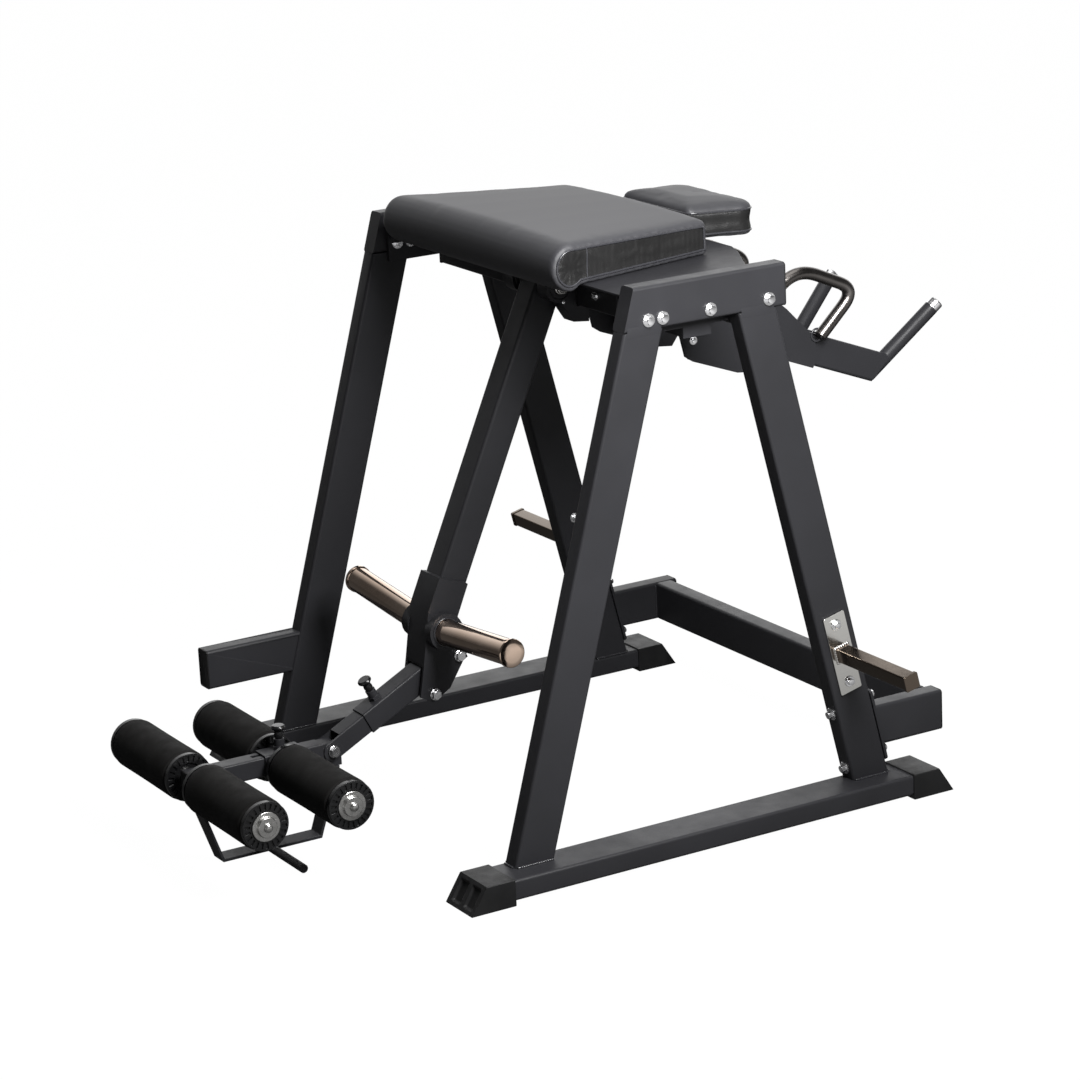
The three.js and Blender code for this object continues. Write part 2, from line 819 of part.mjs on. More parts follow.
function mainPad() {
  const profile = mainPadProfile();
  const count = profile.length;
  const spread = (padFrontHalfWidth - padRearHalfWidth) / (padRear - rollCentreY);
  const halfWidth = (y) => Math.min(padFrontHalfWidth, padRearHalfWidth + (padRear - y) * spread);
  const middleZ = (tableTop + padRearTop) / 2;
  const inward = profile.map((_, i) => {
    const [beforeY, beforeZ] = profile[(i + count - 1) % count];
    const [afterY, afterZ] = profile[(i + 1) % count];
    const normal = new THREE.Vector2(-(afterZ - beforeZ), afterY - beforeY).normalize();
    return normal.multiplyScalar(-1);
  });
  const slice = (share, inset, pull) => profile.map(([y, z], i) => {
    const depth = z > middleZ ? inset : inset / 2;
    const lift = z > middleZ ? padCrown * (1 - share * share) : 0;
    const x = Math.sign(share) * (halfWidth(y) - pull);
    const across = Math.abs(share) < 1 ? halfWidth(y) * share : x;
    return at(across, y + inward[i].x * depth, z + inward[i].y * depth + lift);
  });
  const edge = [[padEdge, padDraw / 2], [padEdge / 4, padEdge / 4], [0, padEdge]];
  const right = edge.map(([inset, pull]) => slice(1, inset, pull));
  const left = edge.map(([inset, pull]) => slice(-1, inset, pull));
  const inner = padSliceShares.map((share) => slice(share, 0, 0));
  return ringsToSolid([...right, ...inner, ...left.reverse()]);
}

// The head pad: level rings from its underside to its crowned top
function headPadOutline() {
  const side = (headRearHalfWidth - headFrontHalfWidth) / (headRear - headFront);
  const small = headCorner / 3;
  const bow = (x) => headBow * (1 - (x / headRearHalfWidth) ** 2);
  const rearRun = headRearHalfWidth - headCorner;
  const rear = headBowShares.map((share) => [rearRun * share, headRear + bow(rearRun * share)]);
  const rightRear = arcPoints(rearRun, headRear - headCorner, headCorner, 0, 90, headCornerSteps);
  const rightFront = arcPoints(headFrontHalfWidth - small, headFront + small, small, 270, 360, headSmallSteps);
  const sideRun = (headRear - headFront) * headSideShare;
  const rightSide = [headFrontHalfWidth + side * sideRun, headFront + sideRun];
  const right = [...rightFront, rightSide, ...rightRear];
  const left = right.map(([x, y]) => [-x, y]).reverse();
  const bowed = ([x, y]) => {
    const share = (y - headRear + headCorner) / headCorner;
    return [x, share > 1 / 2 ? y + bow(x) * share : y];
  };
  return [...right.map(bowed), ...rear, ...left.map(bowed)];
}

function headPad() {
  const outline = headPadOutline();
  const middle = (headFront + headRear) / 2;
  const height = headTop - headUnder;
  const ring = (inset, z) => outline.map(([x, y]) => {
    const reach = Math.hypot(x, y - middle);
    const share = (reach - inset) / reach;
    const drop = (y - headFront) * tan(headTilt);
    return at(x * share, middle + (y - middle) * share, z - drop);
  });
  return ringsToSolid([
    ring(padEdge / 3, headUnder),
    ring(0, headUnder + height * headWeltShare),
    ring(padDraw, headUnder + height * headWaistShare),
    ring(0, headTop - padEdge),
    ring(padEdge / 4, headTop - padEdge / 4),
    ring(padEdge, headTop + headCrown * headRimShare),
    ring(headSlopeInset, headTop + headCrown * headSlopeShare),
    ring(headTopInset, headTop + headCrown),
  ]);
}

// A joggled strap that carries the head pad from under the table's tongue
function headPadBracket() {
  const under = tableTop - tableThickness * tongueWeldShare;
  const padUnder = (y) => headUnder - (y - headFront) * tan(headTilt) - seam;
  const stepFront = tongueRear + 2 * headBracketThickness;
  const stepRear = stepFront + 2 * headBracketThickness;
  const outline = polygon([
    [headBracketFront, under - headBracketThickness],
    [stepFront, under - headBracketThickness],
    [stepRear, padUnder(stepRear) - headBracketThickness],
    [headBracketEnd, padUnder(headBracketEnd) - headBracketThickness],
    [headBracketEnd, padUnder(headBracketEnd)],
    [stepRear, padUnder(stepRear)],
    [stepFront, under],
    [headBracketFront, under],
  ]);
  return sidePlate(outline, -headBracketWidth / 2, headBracketWidth / 2);
}

// Storage pegs
function storagePeg() {
  const centre = at(frameHalfWidth + seam, pegPlateY, pegPlateZ);
  const plate = beam(
    boxSection(pegPlateLength, pegPlateWidth, storagePegWall),
    centre,
    centre.clone().addScaledVector(X, pegPlateThickness - seam),
    rearLegAlong,
  );
  const end = at(storagePegReach, pegPlateY, pegPlateZ);
  const peg = beam(boxSection(storagePegSize, storagePegSize, storagePegWall), centre, end, rearLegAlong);
  const capStart = end.clone().addScaledVector(X, -pegCapLength);
  const capSize = storagePegSize + 2 * pegCapRim;
  const cap = beam(boxSection(capSize, capSize, storagePegWall), capStart, end, rearLegAlong);
  return cut(fuse(plate, peg, cap), ...pegBoltLines().map(([a, b]) => boltHole(a, b)));
}

// Handle bracket: two side plates with a web above and a web below the arm
function handlePlateOutline() {
  const under = -handleArmDepth / 2 - slideGap - webThickness;
  const end = onHandleArm(handleArmLength * plateEndShare, under);
  const top = beamUnder - seam;
  return polygon([
    [plateTopFront, top],
    [plateNeckY, frameHeight - plateNeckDrop],
    [plateChinY, frameHeight - plateChinDrop],
    [plateFootY, frameHeight - plateFootDrop],
    [plateHeelY, frameHeight - plateHeelDrop],
    [plateToeY, frameHeight - plateToeDrop],
    [plateLipY, end.z + (end.y - plateLipY) * tan(handleArmDrop)],
    [end.y, end.z],
    [end.y + plateTipReach, end.z + plateTipRise],
    [end.y, end.z + plateEndRise],
    [plateShoulderY, frameHeight - plateNeckDrop],
    [plateTopRear, top],
  ]);
}

function handleBracket() {
  const outline = handlePlateOutline();
  const outerPlate = sidePlate(outline, handleX + plateInner, plateOuterX);
  const fullPlate = sidePlate(outline, handleX - plateInner - plateThickness, handleX - plateInner);
  const ahead = block(0, handleX, plateTopFront - handleArmDepth, innerPlateFront, 0, beamUnder);
  const innerPlate = cut(fullPlate, ahead);
  const webs = [-1, 1].map((way) => {
    const rise = way * (handleArmDepth / 2 + slideGap + webThickness / 2);
    const section = polygon([
      [-plateInner - plateThickness / 2, -webThickness / 2],
      [plateInner + plateThickness / 2, -webThickness / 2],
      [plateInner + plateThickness / 2, webThickness / 2],
      [-plateInner - plateThickness / 2, webThickness / 2],
    ]);
    const front = onHandleArm(handleArmLength * webFrontShare, rise);
    return beam(section, front, onHandleArm(handleArmLength * webRearShare, rise));
  });
  return fuse(outerPlate, innerPlate, ...webs);
}

// A run of straight stretches whose corners are rounded, each by its own radius
function roundedRoute(points, radii) {
  const route = new THREE.CurvePath();
  let from = points[0];
  for (let i = 1; i + 1 < points.length; i += 1) {
    const before = points[i - 1].clone().sub(points[i]).normalize();
    const after = points[i + 1].clone().sub(points[i]).normalize();
    const half = before.angleTo(after) / 2;
    const reach = radii[i - 1] / Math.tan(half);
    const arcStart = points[i].clone().addScaledVector(before, reach);
    const arcEnd = points[i].clone().addScaledVector(after, reach);
    route.add(new THREE.LineCurve3(from, arcStart));
    route.add(new THREE.QuadraticBezierCurve3(arcStart, points[i], arcEnd));
    from = arcEnd;
  }
  route.add(new THREE.LineCurve3(from, points.at(-1)));
  return route;
}

function loopHandle() {
  const x = plateOuterX + seam + loopRadius;
  const route = roundedRoute(
    [
      at(x, loopFootY, frameHeight - loopFootDrop),
      at(x, loopBrowY, frameHeight - loopBrowDrop),
      at(x, loopNoseY, frameHeight - loopNoseDrop),
      at(x, loopHeelY, frameHeight - loopHeelDrop),
    ],
    [loopBrowRadius, loopNoseRadius],
  );
  const section = polygon(circlePoints(loopRadius, loopSides));
  return solid(new THREE.ExtrudeGeometry(section, { steps: loopSteps, extrudePath: route }));
}

// Handle arm: its end is mitred along the sloping grip and closed by a plate
function gripDirection() {
  return gripEnd.clone().sub(handleElbow).normalize();
}

// All that lies in front of the mitre, or of a plane that is set back from it
function aheadOfMitre(setBack) {
  const direction = gripDirection();
  const high = onHandleArm(setBack).addScaledVector(direction, handleArmLength);
  const low = onHandleArm(setBack).addScaledVector(direction, -handleArmLength);
  const reach = 2 * handleArmLength;
  const outline = polygon([
    [high.y, high.z],
    [low.y, low.z],
    [low.y - reach, low.z],
    [high.y - reach, high.z],
  ]);
  return sidePlate(outline, 0, 2 * handleX);
}

function handleArm() {
  const section = tubeSection(handleArmWidth, handleArmDepth, tubeCorner, handleArmWall);
  const bar = boxSection(handleArmWidth, handleArmDepth, tubeCorner);
  const start = onHandleArm(handleArmLength);
  const past = onHandleArm(-handleArmDepth);
  const tube = keep(beam(section, start, past), aheadOfMitre(0));
  const endPlate = cut(keep(beam(bar, start, past), aheadOfMitre(0)), aheadOfMitre(handleEndPlate));
  const direction = gripDirection();
  const grip = rod(
    handleElbow.clone().addScaledVector(direction, -handleArmDepth),
    gripEnd.clone().addScaledVector(direction, -gripCapLength),
    gripRadius, rollerSides / 2,
  );
  const under = -handleArmDepth / 2;
  const corners = [
    onHandleArm(-handleArmLength, under),
    onHandleArm(handleArmLength, under),
    onHandleArm(handleArmLength, under - handleArmLength),
    onHandleArm(-handleArmLength, under - handleArmLength),
  ];
  const below = sidePlate(polygon(corners.map(({ y, z }) => [y, z])), 0, 2 * handleX);
  return fuse(tube, endPlate, cut(grip, below));
}

function gripCap() {
  const direction = gripDirection();
  const length = gripCapLength - seam;
  const start = gripEnd.clone().addScaledVector(direction, -length);
  const rim = gripRadius / 8;
  const profile = [
    [0, 0], [gripRadius, 0], [gripRadius, length - rim], [gripRadius - rim, length], [0, length],
  ];
  return turned(profile, start, direction, rollerSides / 2);
}

// Pendulum
function pendulumArm() {
  const section = tubeSection(armSize, armSize, armCorner, armWall);
  const top = armAt(pivotZ + 2 * armHeadRadius);
  const tube = beam(section, top, armAt(armEndZ));
  const wide = 4 * armSize;
  const backTurn = (Math.acos(armHeadBack / armHeadRadius) * 180) / Math.PI;
  const arc = arcPoints(pivotY, pivotZ, armHeadRadius, armHeadTurn, backTurn, arcSteps);
  const outline = polygon([
    ...arc,
    [pivotY + armHeadBack, beamUnder - seam],
    [pivotY + armHeadBack + wide, beamUnder - wide],
    [pivotY + armHeadBack + wide, armEndZ - wide],
    [armAt(armEndZ).y - wide, armEndZ - wide],
    [armAt(pivotZ).y - wide, pivotZ - armHeadRadius],
    [pivotY - armHeadRadius, pivotZ - armHeadRadius / 3],
  ]);
  const headed = keep(tube, sidePlate(outline, -armSize, armSize));
  const half = armSize / 2;
  const hub = rod(at(-half, pivotY, pivotZ), at(half, pivotY, pivotZ), hubRadius, rollerSides);
  const bore = rod(at(-armSize, pivotY, pivotZ), at(armSize, pivotY, pivotZ), shaftRadius + seam, rollerSides);
  return cut(fuse(headed, hub), bore);
}

function pivotShaft() {
  const reach = blockOuter + shaftOverhang;
  const profile = [
    [0, -reach - shaftHeadLength],
    [shaftHeadRadius, -reach - shaftHeadLength],
    [shaftHeadRadius, -reach],
    [shaftRadius, -reach],
    [shaftRadius, reach],
    [shaftHeadRadius, reach],
    [shaftHeadRadius, reach + shaftHeadLength],
    [0, reach + shaftHeadLength],
  ];
  return turned(profile, at(0, pivotY, pivotZ), X, rollerSides);
}

function bearingBlock() {
  const back = frontBeamFront - seam;
  const nose = arcPoints(pivotY, pivotZ, blockNose, blockNoseTurn, 270, arcSteps);
  const outline = polygon([
    [back, beamTop],
    ...nose,
    [blockHeelY, frameHeight - blockHeelDrop],
    [back + blockFoot, frameHeight - blockUnderDrop],
    [back + blockFoot, beamUnder - seam],
    [back, beamUnder - seam],
  ]);
  const body = sidePlate(outline, blockInner, blockOuter);
  const seat = rod(
    at(0, pivotY, pivotZ), at(2 * blockOuter, pivotY, pivotZ),
    bearingRadius + seam, rollerSides,
  );
  return cut(body, seat);
}

function pivotBearing() {
  const profile = [
    [shaftRadius + seam, blockInner],
    [bearingRadius, blockInner],
    [bearingRadius, blockOuter],
    [shaftRadius + seam, blockOuter],
    [shaftRadius + seam, blockInner],
  ];
  return turned(profile, at(0, pivotY, pivotZ), X, rollerSides);
}

// Weight bracket: two side plates joined by a front web, with the horns' collars
function bracketOutline() {
  const frontAt = (z) => armFrontAt(z) - bracketThickness - seam;
  return [
    [frontAt(bracketTopZ), bracketTopZ],
    [frontAt(bracketBendZ), bracketBendZ],
    [bracketCheekY, bracketCheekZ],
    [bracketNoseY, bracketNoseZ],
    [bracketChinY, bracketChinZ],
    [bracketHeelY, bracketHeelZ],
    [bracketBackY, bracketBackZ],
    [bracketNapeY, bracketNapeZ],
    [bracketNotchY, bracketNotchZ],
    [bracketHornY, bracketHornZ],
    [bracketPeakY, bracketPeakZ],
  ];
}

function bracketInnerX() {
  return armSize / 2 + seam;
}

function weightBracket() {
  const outline = bracketOutline();
  const inner = bracketInnerX();
  const outer = inner + bracketThickness;
  const plate = sidePlate(polygon(outline), inner, outer);
  const webLine = outline.slice(0, 3);
  const webFoot = [webLine[2][0], webLine[2][1] - bracketThickness];
  const web = sidePlate(
    polygon([
      ...webLine,
      webFoot,
      [webFoot[0] + bracketThickness, webFoot[1]],
      ...webLine.slice(1).reverse().map(([y, z]) => [y + bracketThickness, z]),
      [webLine[0][0] + bracketThickness, webLine[0][1]],
    ]),
    -inner, inner,
  );
  const hornLine = at(cos(hornTilt), 0, sin(hornTilt));
  const hornRoot = at(0, hornY, hornZ);
  const collarRoot = hornRoot.clone().addScaledVector(hornLine, outer - bracketThickness / 2);
  const collarEnd = collarRoot.clone().addScaledVector(hornLine, collarLength);
  const collar = rod(collarRoot, collarEnd, collarRadius, hornSides);
  const socket = rod(
    collarRoot, collarEnd.clone().addScaledVector(hornLine, collarLength),
    hornRadius + seam, hornSides,
  );
  const across = 2 * armSize;
  const holes = [[upperBoltY, upperBoltZ], [lowerBoltY, lowerBoltZ]].map(([y, z]) =>
    boltHole(at(-across, y, z), at(across, y, z)));
  const right = cut(fuse(plate, collar), socket);
  return cut(fuse(right, mirrored(right), web), ...holes);
}

function weightHorn() {
  const line = at(cos(hornTilt), 0, sin(hornTilt));
  const root = bracketInnerX() + bracketThickness;
  const end = hornReach / cos(hornTilt);
  const rim = hornRadius + hornRim;
  const profile = [
    [0, root],
    [hornRadius, root],
    [hornRadius, end - hornRimLength],
    [rim, end - hornRimLength],
    [rim, end - hornRim],
    [rim - hornRim, end],
    [0, end],
  ];
  return turned(profile, at(0, hornY, hornZ), line, hornSides);
}

function bracketUpperBolt() {
  const outer = bracketInnerX() + bracketThickness;
  return throughBolt(at(outer, upperBoltY, upperBoltZ), at(-outer, upperBoltY, upperBoltZ));
}

// The lower bolt carries the spacer that the lower arm rests on
function bracketLowerBolt() {
  const outer = bracketInnerX() + bracketThickness;
  const half = bracketInnerX() - seam;
  const drop = at(0, lowerBoltY, lowerBoltZ).sub(carriageBolt).dot(lowerNormal);
  const spacerRadius = -drop - lowerSize / 2 - seam;
  return fuse(
    throughBolt(at(outer, lowerBoltY, lowerBoltZ), at(-outer, lowerBoltY, lowerBoltZ)),
    rod(at(-half, lowerBoltY, lowerBoltZ), at(half, lowerBoltY, lowerBoltZ), spacerRadius, washerSides),
  );
}

// Pull pin: a barrel welded on a tube, and the plunger that slides in it
function pinBarrel(foot, direction) {
  const top = foot.clone().addScaledVector(direction, barrelLength);
  const sunk = foot.clone().addScaledVector(direction, -lowerWall / 2);
  const nut = rod(sunk, foot.clone().addScaledVector(direction, barrelLength / 3), barrelRadius * nutShare, hexSides);
  return fuse(rod(sunk, top, barrelRadius, washerSides), nut);
}

function pinBore(foot, direction) {
  const top = foot.clone().addScaledVector(direction, 2 * barrelLength);
  const low = foot.clone().addScaledVector(direction, -barrelLength);
  return rod(low, top, pinRadius + runningGap, washerSides);
}

function pinPlunger(foot, direction, depth) {
  const knob = barrelLength + seam;
  const top = knob + knobLength;
  const profile = [
    [0, -depth],
    [pinRadius, -depth],
    [pinRadius, knob],
    [knobNeck, knob],
    ...knobShares.map(([wide, far]) => [knobNeck * wide, knob + knobLength * far]),
    ...knobHeadShares.map(([wide, far]) => [knobRadius * wide, knob + knobLength * far]),
    [0, top],
  ];
  return turned(profile, foot, direction, hornSides / 2);
}

// Lower arm
function lowerPinFoot() {
  return onLowerArm(lowerPinPlace).addScaledVector(lowerNormal, lowerSize / 2);
}

function lowerArmTube() {
  const section = tubeSection(lowerSize, lowerSize, lowerCorner, lowerWall);
  const rear = upperBolt.distanceTo(carriageBolt) + lowerRearOverlap;
  const tube = beam(section, onLowerArm(rear), onLowerArm(lowerFrontEnd));
  const half = bracketInnerX();
  const bushing = rod(
    at(-half + seam, upperBoltY, upperBoltZ), at(half - seam, upperBoltY, upperBoltZ),
    bushRadius, washerSides,
  );
  const hole = boltHole(at(-armSize, upperBoltY, upperBoltZ), at(armSize, upperBoltY, upperBoltZ));
  const barrel = pinBarrel(lowerPinFoot(), lowerNormal);
  return cut(fuse(tube, bushing, barrel), hole, pinBore(lowerPinFoot(), lowerNormal));
}

// The inner tube ends in a fork round the carriage bolt
function lowerArmSlide() {
  const size = lowerInnerSize;
  const section = tubeSection(size, size, lowerCorner, lowerWall);
  const rounding = size / 2;
  const tube = beam(section, onLowerArm(innerOverlap + lowerFrontEnd), onLowerArm(-rounding));
  const angle = (Math.atan2(lowerUp.z, lowerUp.y) * 180) / Math.PI;
  const far = 2 * innerOverlap + lowerFrontEnd;
  const corner = (along, rise) => {
    const point = onLowerArm(along).addScaledVector(lowerNormal, rise);
    return [point.y, point.z];
  };
  const ends = polygon([
    corner(far, -size),
    corner(0, -size / 2),
    ...arcPoints(carriageBoltY, carriageBoltZ, rounding, angle - 90, angle - 270, arcSteps),
    corner(0, size / 2),
    corner(far, size),
  ].filter((point, i, all) => {
    const last = all[i - 1];
    return !last || Math.hypot(point[0] - last[0], point[1] - last[1]) > seam;
  }));
  const rounded = keep(tube, sidePlate(ends, -size, size));
  const throat = size / 2 - lowerWall;
  const mouth = beam(
    polygon([[-throat, -size], [throat, -size], [throat, size], [-throat, size]]),
    onLowerArm(forkRelief),
    onLowerArm(-size),
  );
  const slot = beam(
    boxSection(2 * (pinRadius + runningGap), size, runningGap),
    onLowerArm(lowerPinPlace - slotBack).addScaledVector(lowerNormal, size * slotRiseShare),
    onLowerArm(lowerPinPlace + slotForward).addScaledVector(lowerNormal, size * slotRiseShare),
  );
  const hole = boltHole(at(-size, carriageBoltY, carriageBoltZ), at(size, carriageBoltY, carriageBoltZ));
  return cut(rounded, mouth, slot, hole);
}

function carriagePivotBolt() {
  const half = lowerInnerSize / 2;
  return throughBolt(at(half, carriageBoltY, carriageBoltZ), at(-half, carriageBoltY, carriageBoltZ));
}

// Roller carriage
function carriageTube() {
  const size = carriageSize;
  const section = tubeSection(size, size, carriageCorner, carriageWall);
  const tubeRear = carriageBoltY - lowerInnerSize / 2 - 2 * slideGap;
  const tube = beam(section, at(0, tubeRear, carriageBoltZ), at(0, carriageFront, carriageBoltZ));
  const half = lowerInnerSize / 2 - lowerWall - slideGap;
  const hub = rod(
    at(-half, carriageBoltY, carriageBoltZ), at(half, carriageBoltY, carriageBoltZ),
    half, rollerSides / 2,
  );
  const tongue = block(
    -half, half,
    tubeRear - carriageWall, carriageBoltY,
    carriageBoltZ - half, carriageBoltZ + half,
  );
  const gusset = sidePlate(
    polygon([
      [carriageBoltY - half, carriageBoltZ],
      [carriageBoltY - half / 2, strapRearTopZ - strapThickness],
      [carriageBoltY + half, strapRearTopZ - strapThickness],
      [carriageBoltY + half, carriageBoltZ - half / 2],
      [carriageBoltY, carriageBoltZ],
    ]),
    -half, half,
  );
  const reach = 2 * carriageSize;
  const axleHole = rod(at(-reach, frontAxleY, axleZ), at(reach, frontAxleY, axleZ), axleRadius + seam, rollerSides);
  const boltBore = rod(
    at(-reach, carriageBoltY, carriageBoltZ), at(reach, carriageBoltY, carriageBoltZ),
    boltRadius + runningGap, washerSides,
  );
  const slot = block(
    -pinRadius - runningGap, pinRadius + runningGap,
    rearAxleY - sleeveForward - 2 * pinRadius, rearAxleY + sleeveBack + 2 * pinRadius,
    carriageBoltZ, carriageBoltZ + size,
  );
  return cut(fuse(tube, tongue, hub, gusset), axleHole, boltBore, slot);
}

// The foot strap is one bent flat bar, and its peg is welded through it
function footStrap() {
  const underTube = carriageBoltZ - carriageSize / 2 - seam;
  const t = strapThickness;
  const outline = polygon([
    [strapFrontTop, underTube],
    [strapFront, 0],
    [strapRear, 0],
    [strapRearTop + t / 2, strapRearTopZ - t - seam],
    [strapRearTop - t / 2, strapRearTopZ - t - seam],
    [strapRear - t / 2, t],
    [strapFront + t / 2, t],
    [strapFrontTop + t, underTube],
  ]);
  const bar = sidePlate(outline, -strapWidth / 2, strapWidth / 2);
  const peg = rod(
    at(0, pegY, t + pegRadius), at(pegReach, pegY, t + pegRadius),
    pegRadius, washerSides,
  );
  const seat = block(0, strapWidth / 2, pegY - pegRadius / 2, pegY + pegRadius / 2, t / 2, t + pegRadius / 2);
  return fuse(bar, peg, seat);
}

// Half of an axle: a collar inside the roller, the shaft, and a stepped cap that keeps the roller on
function axleHalf(root) {
  const collar = rollerInner - runningGap;
  const cap = rollerOuter + runningGap;
  const step = cap + capThickness;
  const face = step + capStep;
  return [
    [collarFlat, root],
    [collarFlat, collar],
    [axleRadius, collar],
    [axleRadius, cap],
    [capRadius, cap],
    [capRadius, step],
    [capStepRadius, step],
    [capStepRadius, face],
    [capBoltRadius, face],
    [capBoltRadius, face + capBoltLength],
    [0, face + capBoltLength],
  ];
}

function frontAxle() {
  const root = carriageSize / 2 + seam;
  const half = [[axleRadius, root], ...axleHalf(root)];
  const profile = [...half.map(([r, x]) => [r, -x]).reverse(), ...half];
  return turned(profile, at(0, frontAxleY, axleZ), X, rollerSides);
}

function rearAxle() {
  const root = sleeveSize / 2 + seam;
  return turned([[0, root], ...axleHalf(root)], at(0, rearAxleY, axleZ), X, rollerSides);
}

function rearRollerSleeve() {
  const section = tubeSection(sleeveSize, sleeveSize, carriageCorner, sleeveWall);
  const tube = beam(
    section,
    at(0, rearAxleY + sleeveHalfLength, carriageBoltZ),
    at(0, rearAxleY - sleeveHalfLength, carriageBoltZ),
  );
  const foot = at(0, rearAxleY, carriageBoltZ + sleeveSize / 2);
  return cut(fuse(tube, pinBarrel(foot, Z)), pinBore(foot, Z));
}

function rollerHub(axleY) {
  const bore = axleRadius + runningGap;
  const profile = [
    [bore, rollerInner],
    [hubFlangeRadius, rollerInner],
    [hubFlangeRadius, rollerInner + hubFlangeLength],
    [hubTubeRadius, rollerInner + hubFlangeLength],
    [hubTubeRadius, rollerOuter - hubFlangeLength],
    [hubFlangeRadius, rollerOuter - hubFlangeLength],
    [hubFlangeRadius, rollerOuter],
    [bore, rollerOuter],
    [bore, rollerInner],
  ];
  return turned(profile, at(0, axleY, axleZ), X, rollerSides);
}

function rollerFoam(axleY) {
  const start = rollerInner + hubFlangeLength + seam;
  const end = rollerOuter - hubFlangeLength - seam;
  const bore = hubTubeRadius + seam;
  const profile = [
    [bore, start],
    [foamRadius - foamEdge, start],
    [foamRadius - foamEdge / 3, start + foamEdge / 3],
    [foamRadius, start + foamEdge],
    [foamRadius, end - foamEdge],
    [foamRadius - foamEdge / 3, end - foamEdge / 3],
    [foamRadius - foamEdge, end],
    [bore, end],
    [bore, start],
  ];
  return turned(profile, at(0, axleY, axleZ), X, rollerSides);
}

function sleevePin() {
  const foot = at(0, rearAxleY, carriageBoltZ + sleeveSize / 2);
  return pinPlunger(foot, Z, sleeveWall + slideGap + carriageWall);
}

function lowerArmPin() {
  return pinPlunger(lowerPinFoot(), lowerNormal, 2 * lowerWall + slideGap);
}

// The object
const machine = new THREE.Group();
machine.name = "reverse_hyper_machine";

function add(name, geometry, look) {
  const shown = geometry.toNonIndexed();
  shown.computeVertexNormals();
  const mesh = new THREE.Mesh(shown, new THREE.MeshStandardMaterial(look));
  mesh.name = name;
  machine.add(mesh);
}

function addPair(name, geometry, look) {
  add(`right_${name}`, geometry, look);
  add(`left_${name}`, mirrored(geometry), look);
}

addPair("base_tube", baseTube(), blackSteel);
add("right_front_leg", frontLeg(), blackSteel);
add("left_front_leg", mirrored(fuse(frontLeg(), stepTube())), blackSteel);
addPair("rear_leg", rearLeg(), blackSteel);
addPair("top_tube", topTube(), blackSteel);
addPair("front_foot", frontFoot(), blackPlastic);
addPair("rear_foot", rearFoot(), blackPlastic);
add("rear_cross_tube", rearCrossTube(), blackSteel);
addPair("rear_stub", rearStub(), blackSteel);
add("front_cross_beam", frontCrossBeam(), blackSteel);
add("rear_cross_beam", rearCrossBeam(), blackSteel);
add("table_plate", tablePlate(), blackSteel);
add("main_pad", mainPad(), blackLeather);
add("head_pad", headPad(), blackLeather);
addPair("storage_peg", storagePeg(), chrome);
addPair("handle_bracket", handleBracket(), blackSteel);
addPair("loop_handle", loopHandle(), stainless);
addPair("handle_arm", handleArm(), blackSteel);
addPair("grip_cap", gripCap(), zinc);
addPair("bearing_block", bearingBlock(), blackSteel);
add("pivot_shaft", pivotShaft(), zinc);
addPair("pivot_bearing", pivotBearing(), zinc);
add("pendulum_arm", pendulumArm(), blackSteel);
add("weight_bracket", weightBracket(), blackSteel);
addPair("weight_horn", weightHorn(), chrome);
add("bracket_upper_bolt", bracketUpperBolt(), zinc);
add("bracket_lower_bolt", bracketLowerBolt(), zinc);
add("lower_arm_tube", lowerArmTube(), blackSteel);
add("lower_arm_slide", lowerArmSlide(), blackSteel);
add("lower_arm_pin", lowerArmPin(), blackPlastic);
add("carriage_pivot_bolt", carriagePivotBolt(), zinc);
add("carriage_tube", carriageTube(), blackSteel);
add("foot_strap", footStrap(), blackSteel);
add("front_axle", frontAxle(), nickel);
add("rear_roller_sleeve", rearRollerSleeve(), blackSteel);
addPair("rear_axle", rearAxle(), nickel);
add("sleeve_pin", sleevePin(), blackPlastic);
addPair("front_roller_hub", rollerHub(frontAxleY), blackPlastic);
addPair("front_roller_foam", rollerFoam(frontAxleY), blackFoam);
addPair("rear_roller_hub", rollerHub(rearAxleY), blackPlastic);
addPair("rear_roller_foam", rollerFoam(rearAxleY), blackFoam);

// Stand the machine on the middle of its footprint
const extent = new THREE.Box3().setFromObject(machine);
const shift = -(extent.min.y + extent.max.y) / 2;
for (const mesh of machine.children) {
  mesh.geometry.translate(0, shift, 0);
}

export default machine;
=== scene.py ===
import math

import bmesh
import bpy
from mathutils import Matrix, Vector, noise
from mathutils.bvhtree import BVHTree


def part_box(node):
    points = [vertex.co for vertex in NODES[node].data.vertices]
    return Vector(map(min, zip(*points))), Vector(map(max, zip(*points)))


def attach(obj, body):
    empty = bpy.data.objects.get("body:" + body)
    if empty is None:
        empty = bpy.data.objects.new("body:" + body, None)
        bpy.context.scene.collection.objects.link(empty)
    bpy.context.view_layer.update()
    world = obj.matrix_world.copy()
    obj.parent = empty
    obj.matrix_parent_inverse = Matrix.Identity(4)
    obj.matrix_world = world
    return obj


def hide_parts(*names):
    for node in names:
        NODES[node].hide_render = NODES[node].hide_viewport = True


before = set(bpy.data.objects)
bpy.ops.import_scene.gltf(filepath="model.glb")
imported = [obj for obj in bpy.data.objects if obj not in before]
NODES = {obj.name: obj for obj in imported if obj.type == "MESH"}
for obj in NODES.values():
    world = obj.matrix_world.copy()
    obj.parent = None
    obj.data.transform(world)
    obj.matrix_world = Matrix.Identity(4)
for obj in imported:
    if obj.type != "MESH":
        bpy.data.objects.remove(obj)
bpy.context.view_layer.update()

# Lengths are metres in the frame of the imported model. The part's source places things from
# a working origin, and SHIFT takes those places to this frame.
PIVOT_Y = -0.203
SHIFT = sum(corner[1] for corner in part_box("pivot_shaft")) / 2 - PIVOT_Y

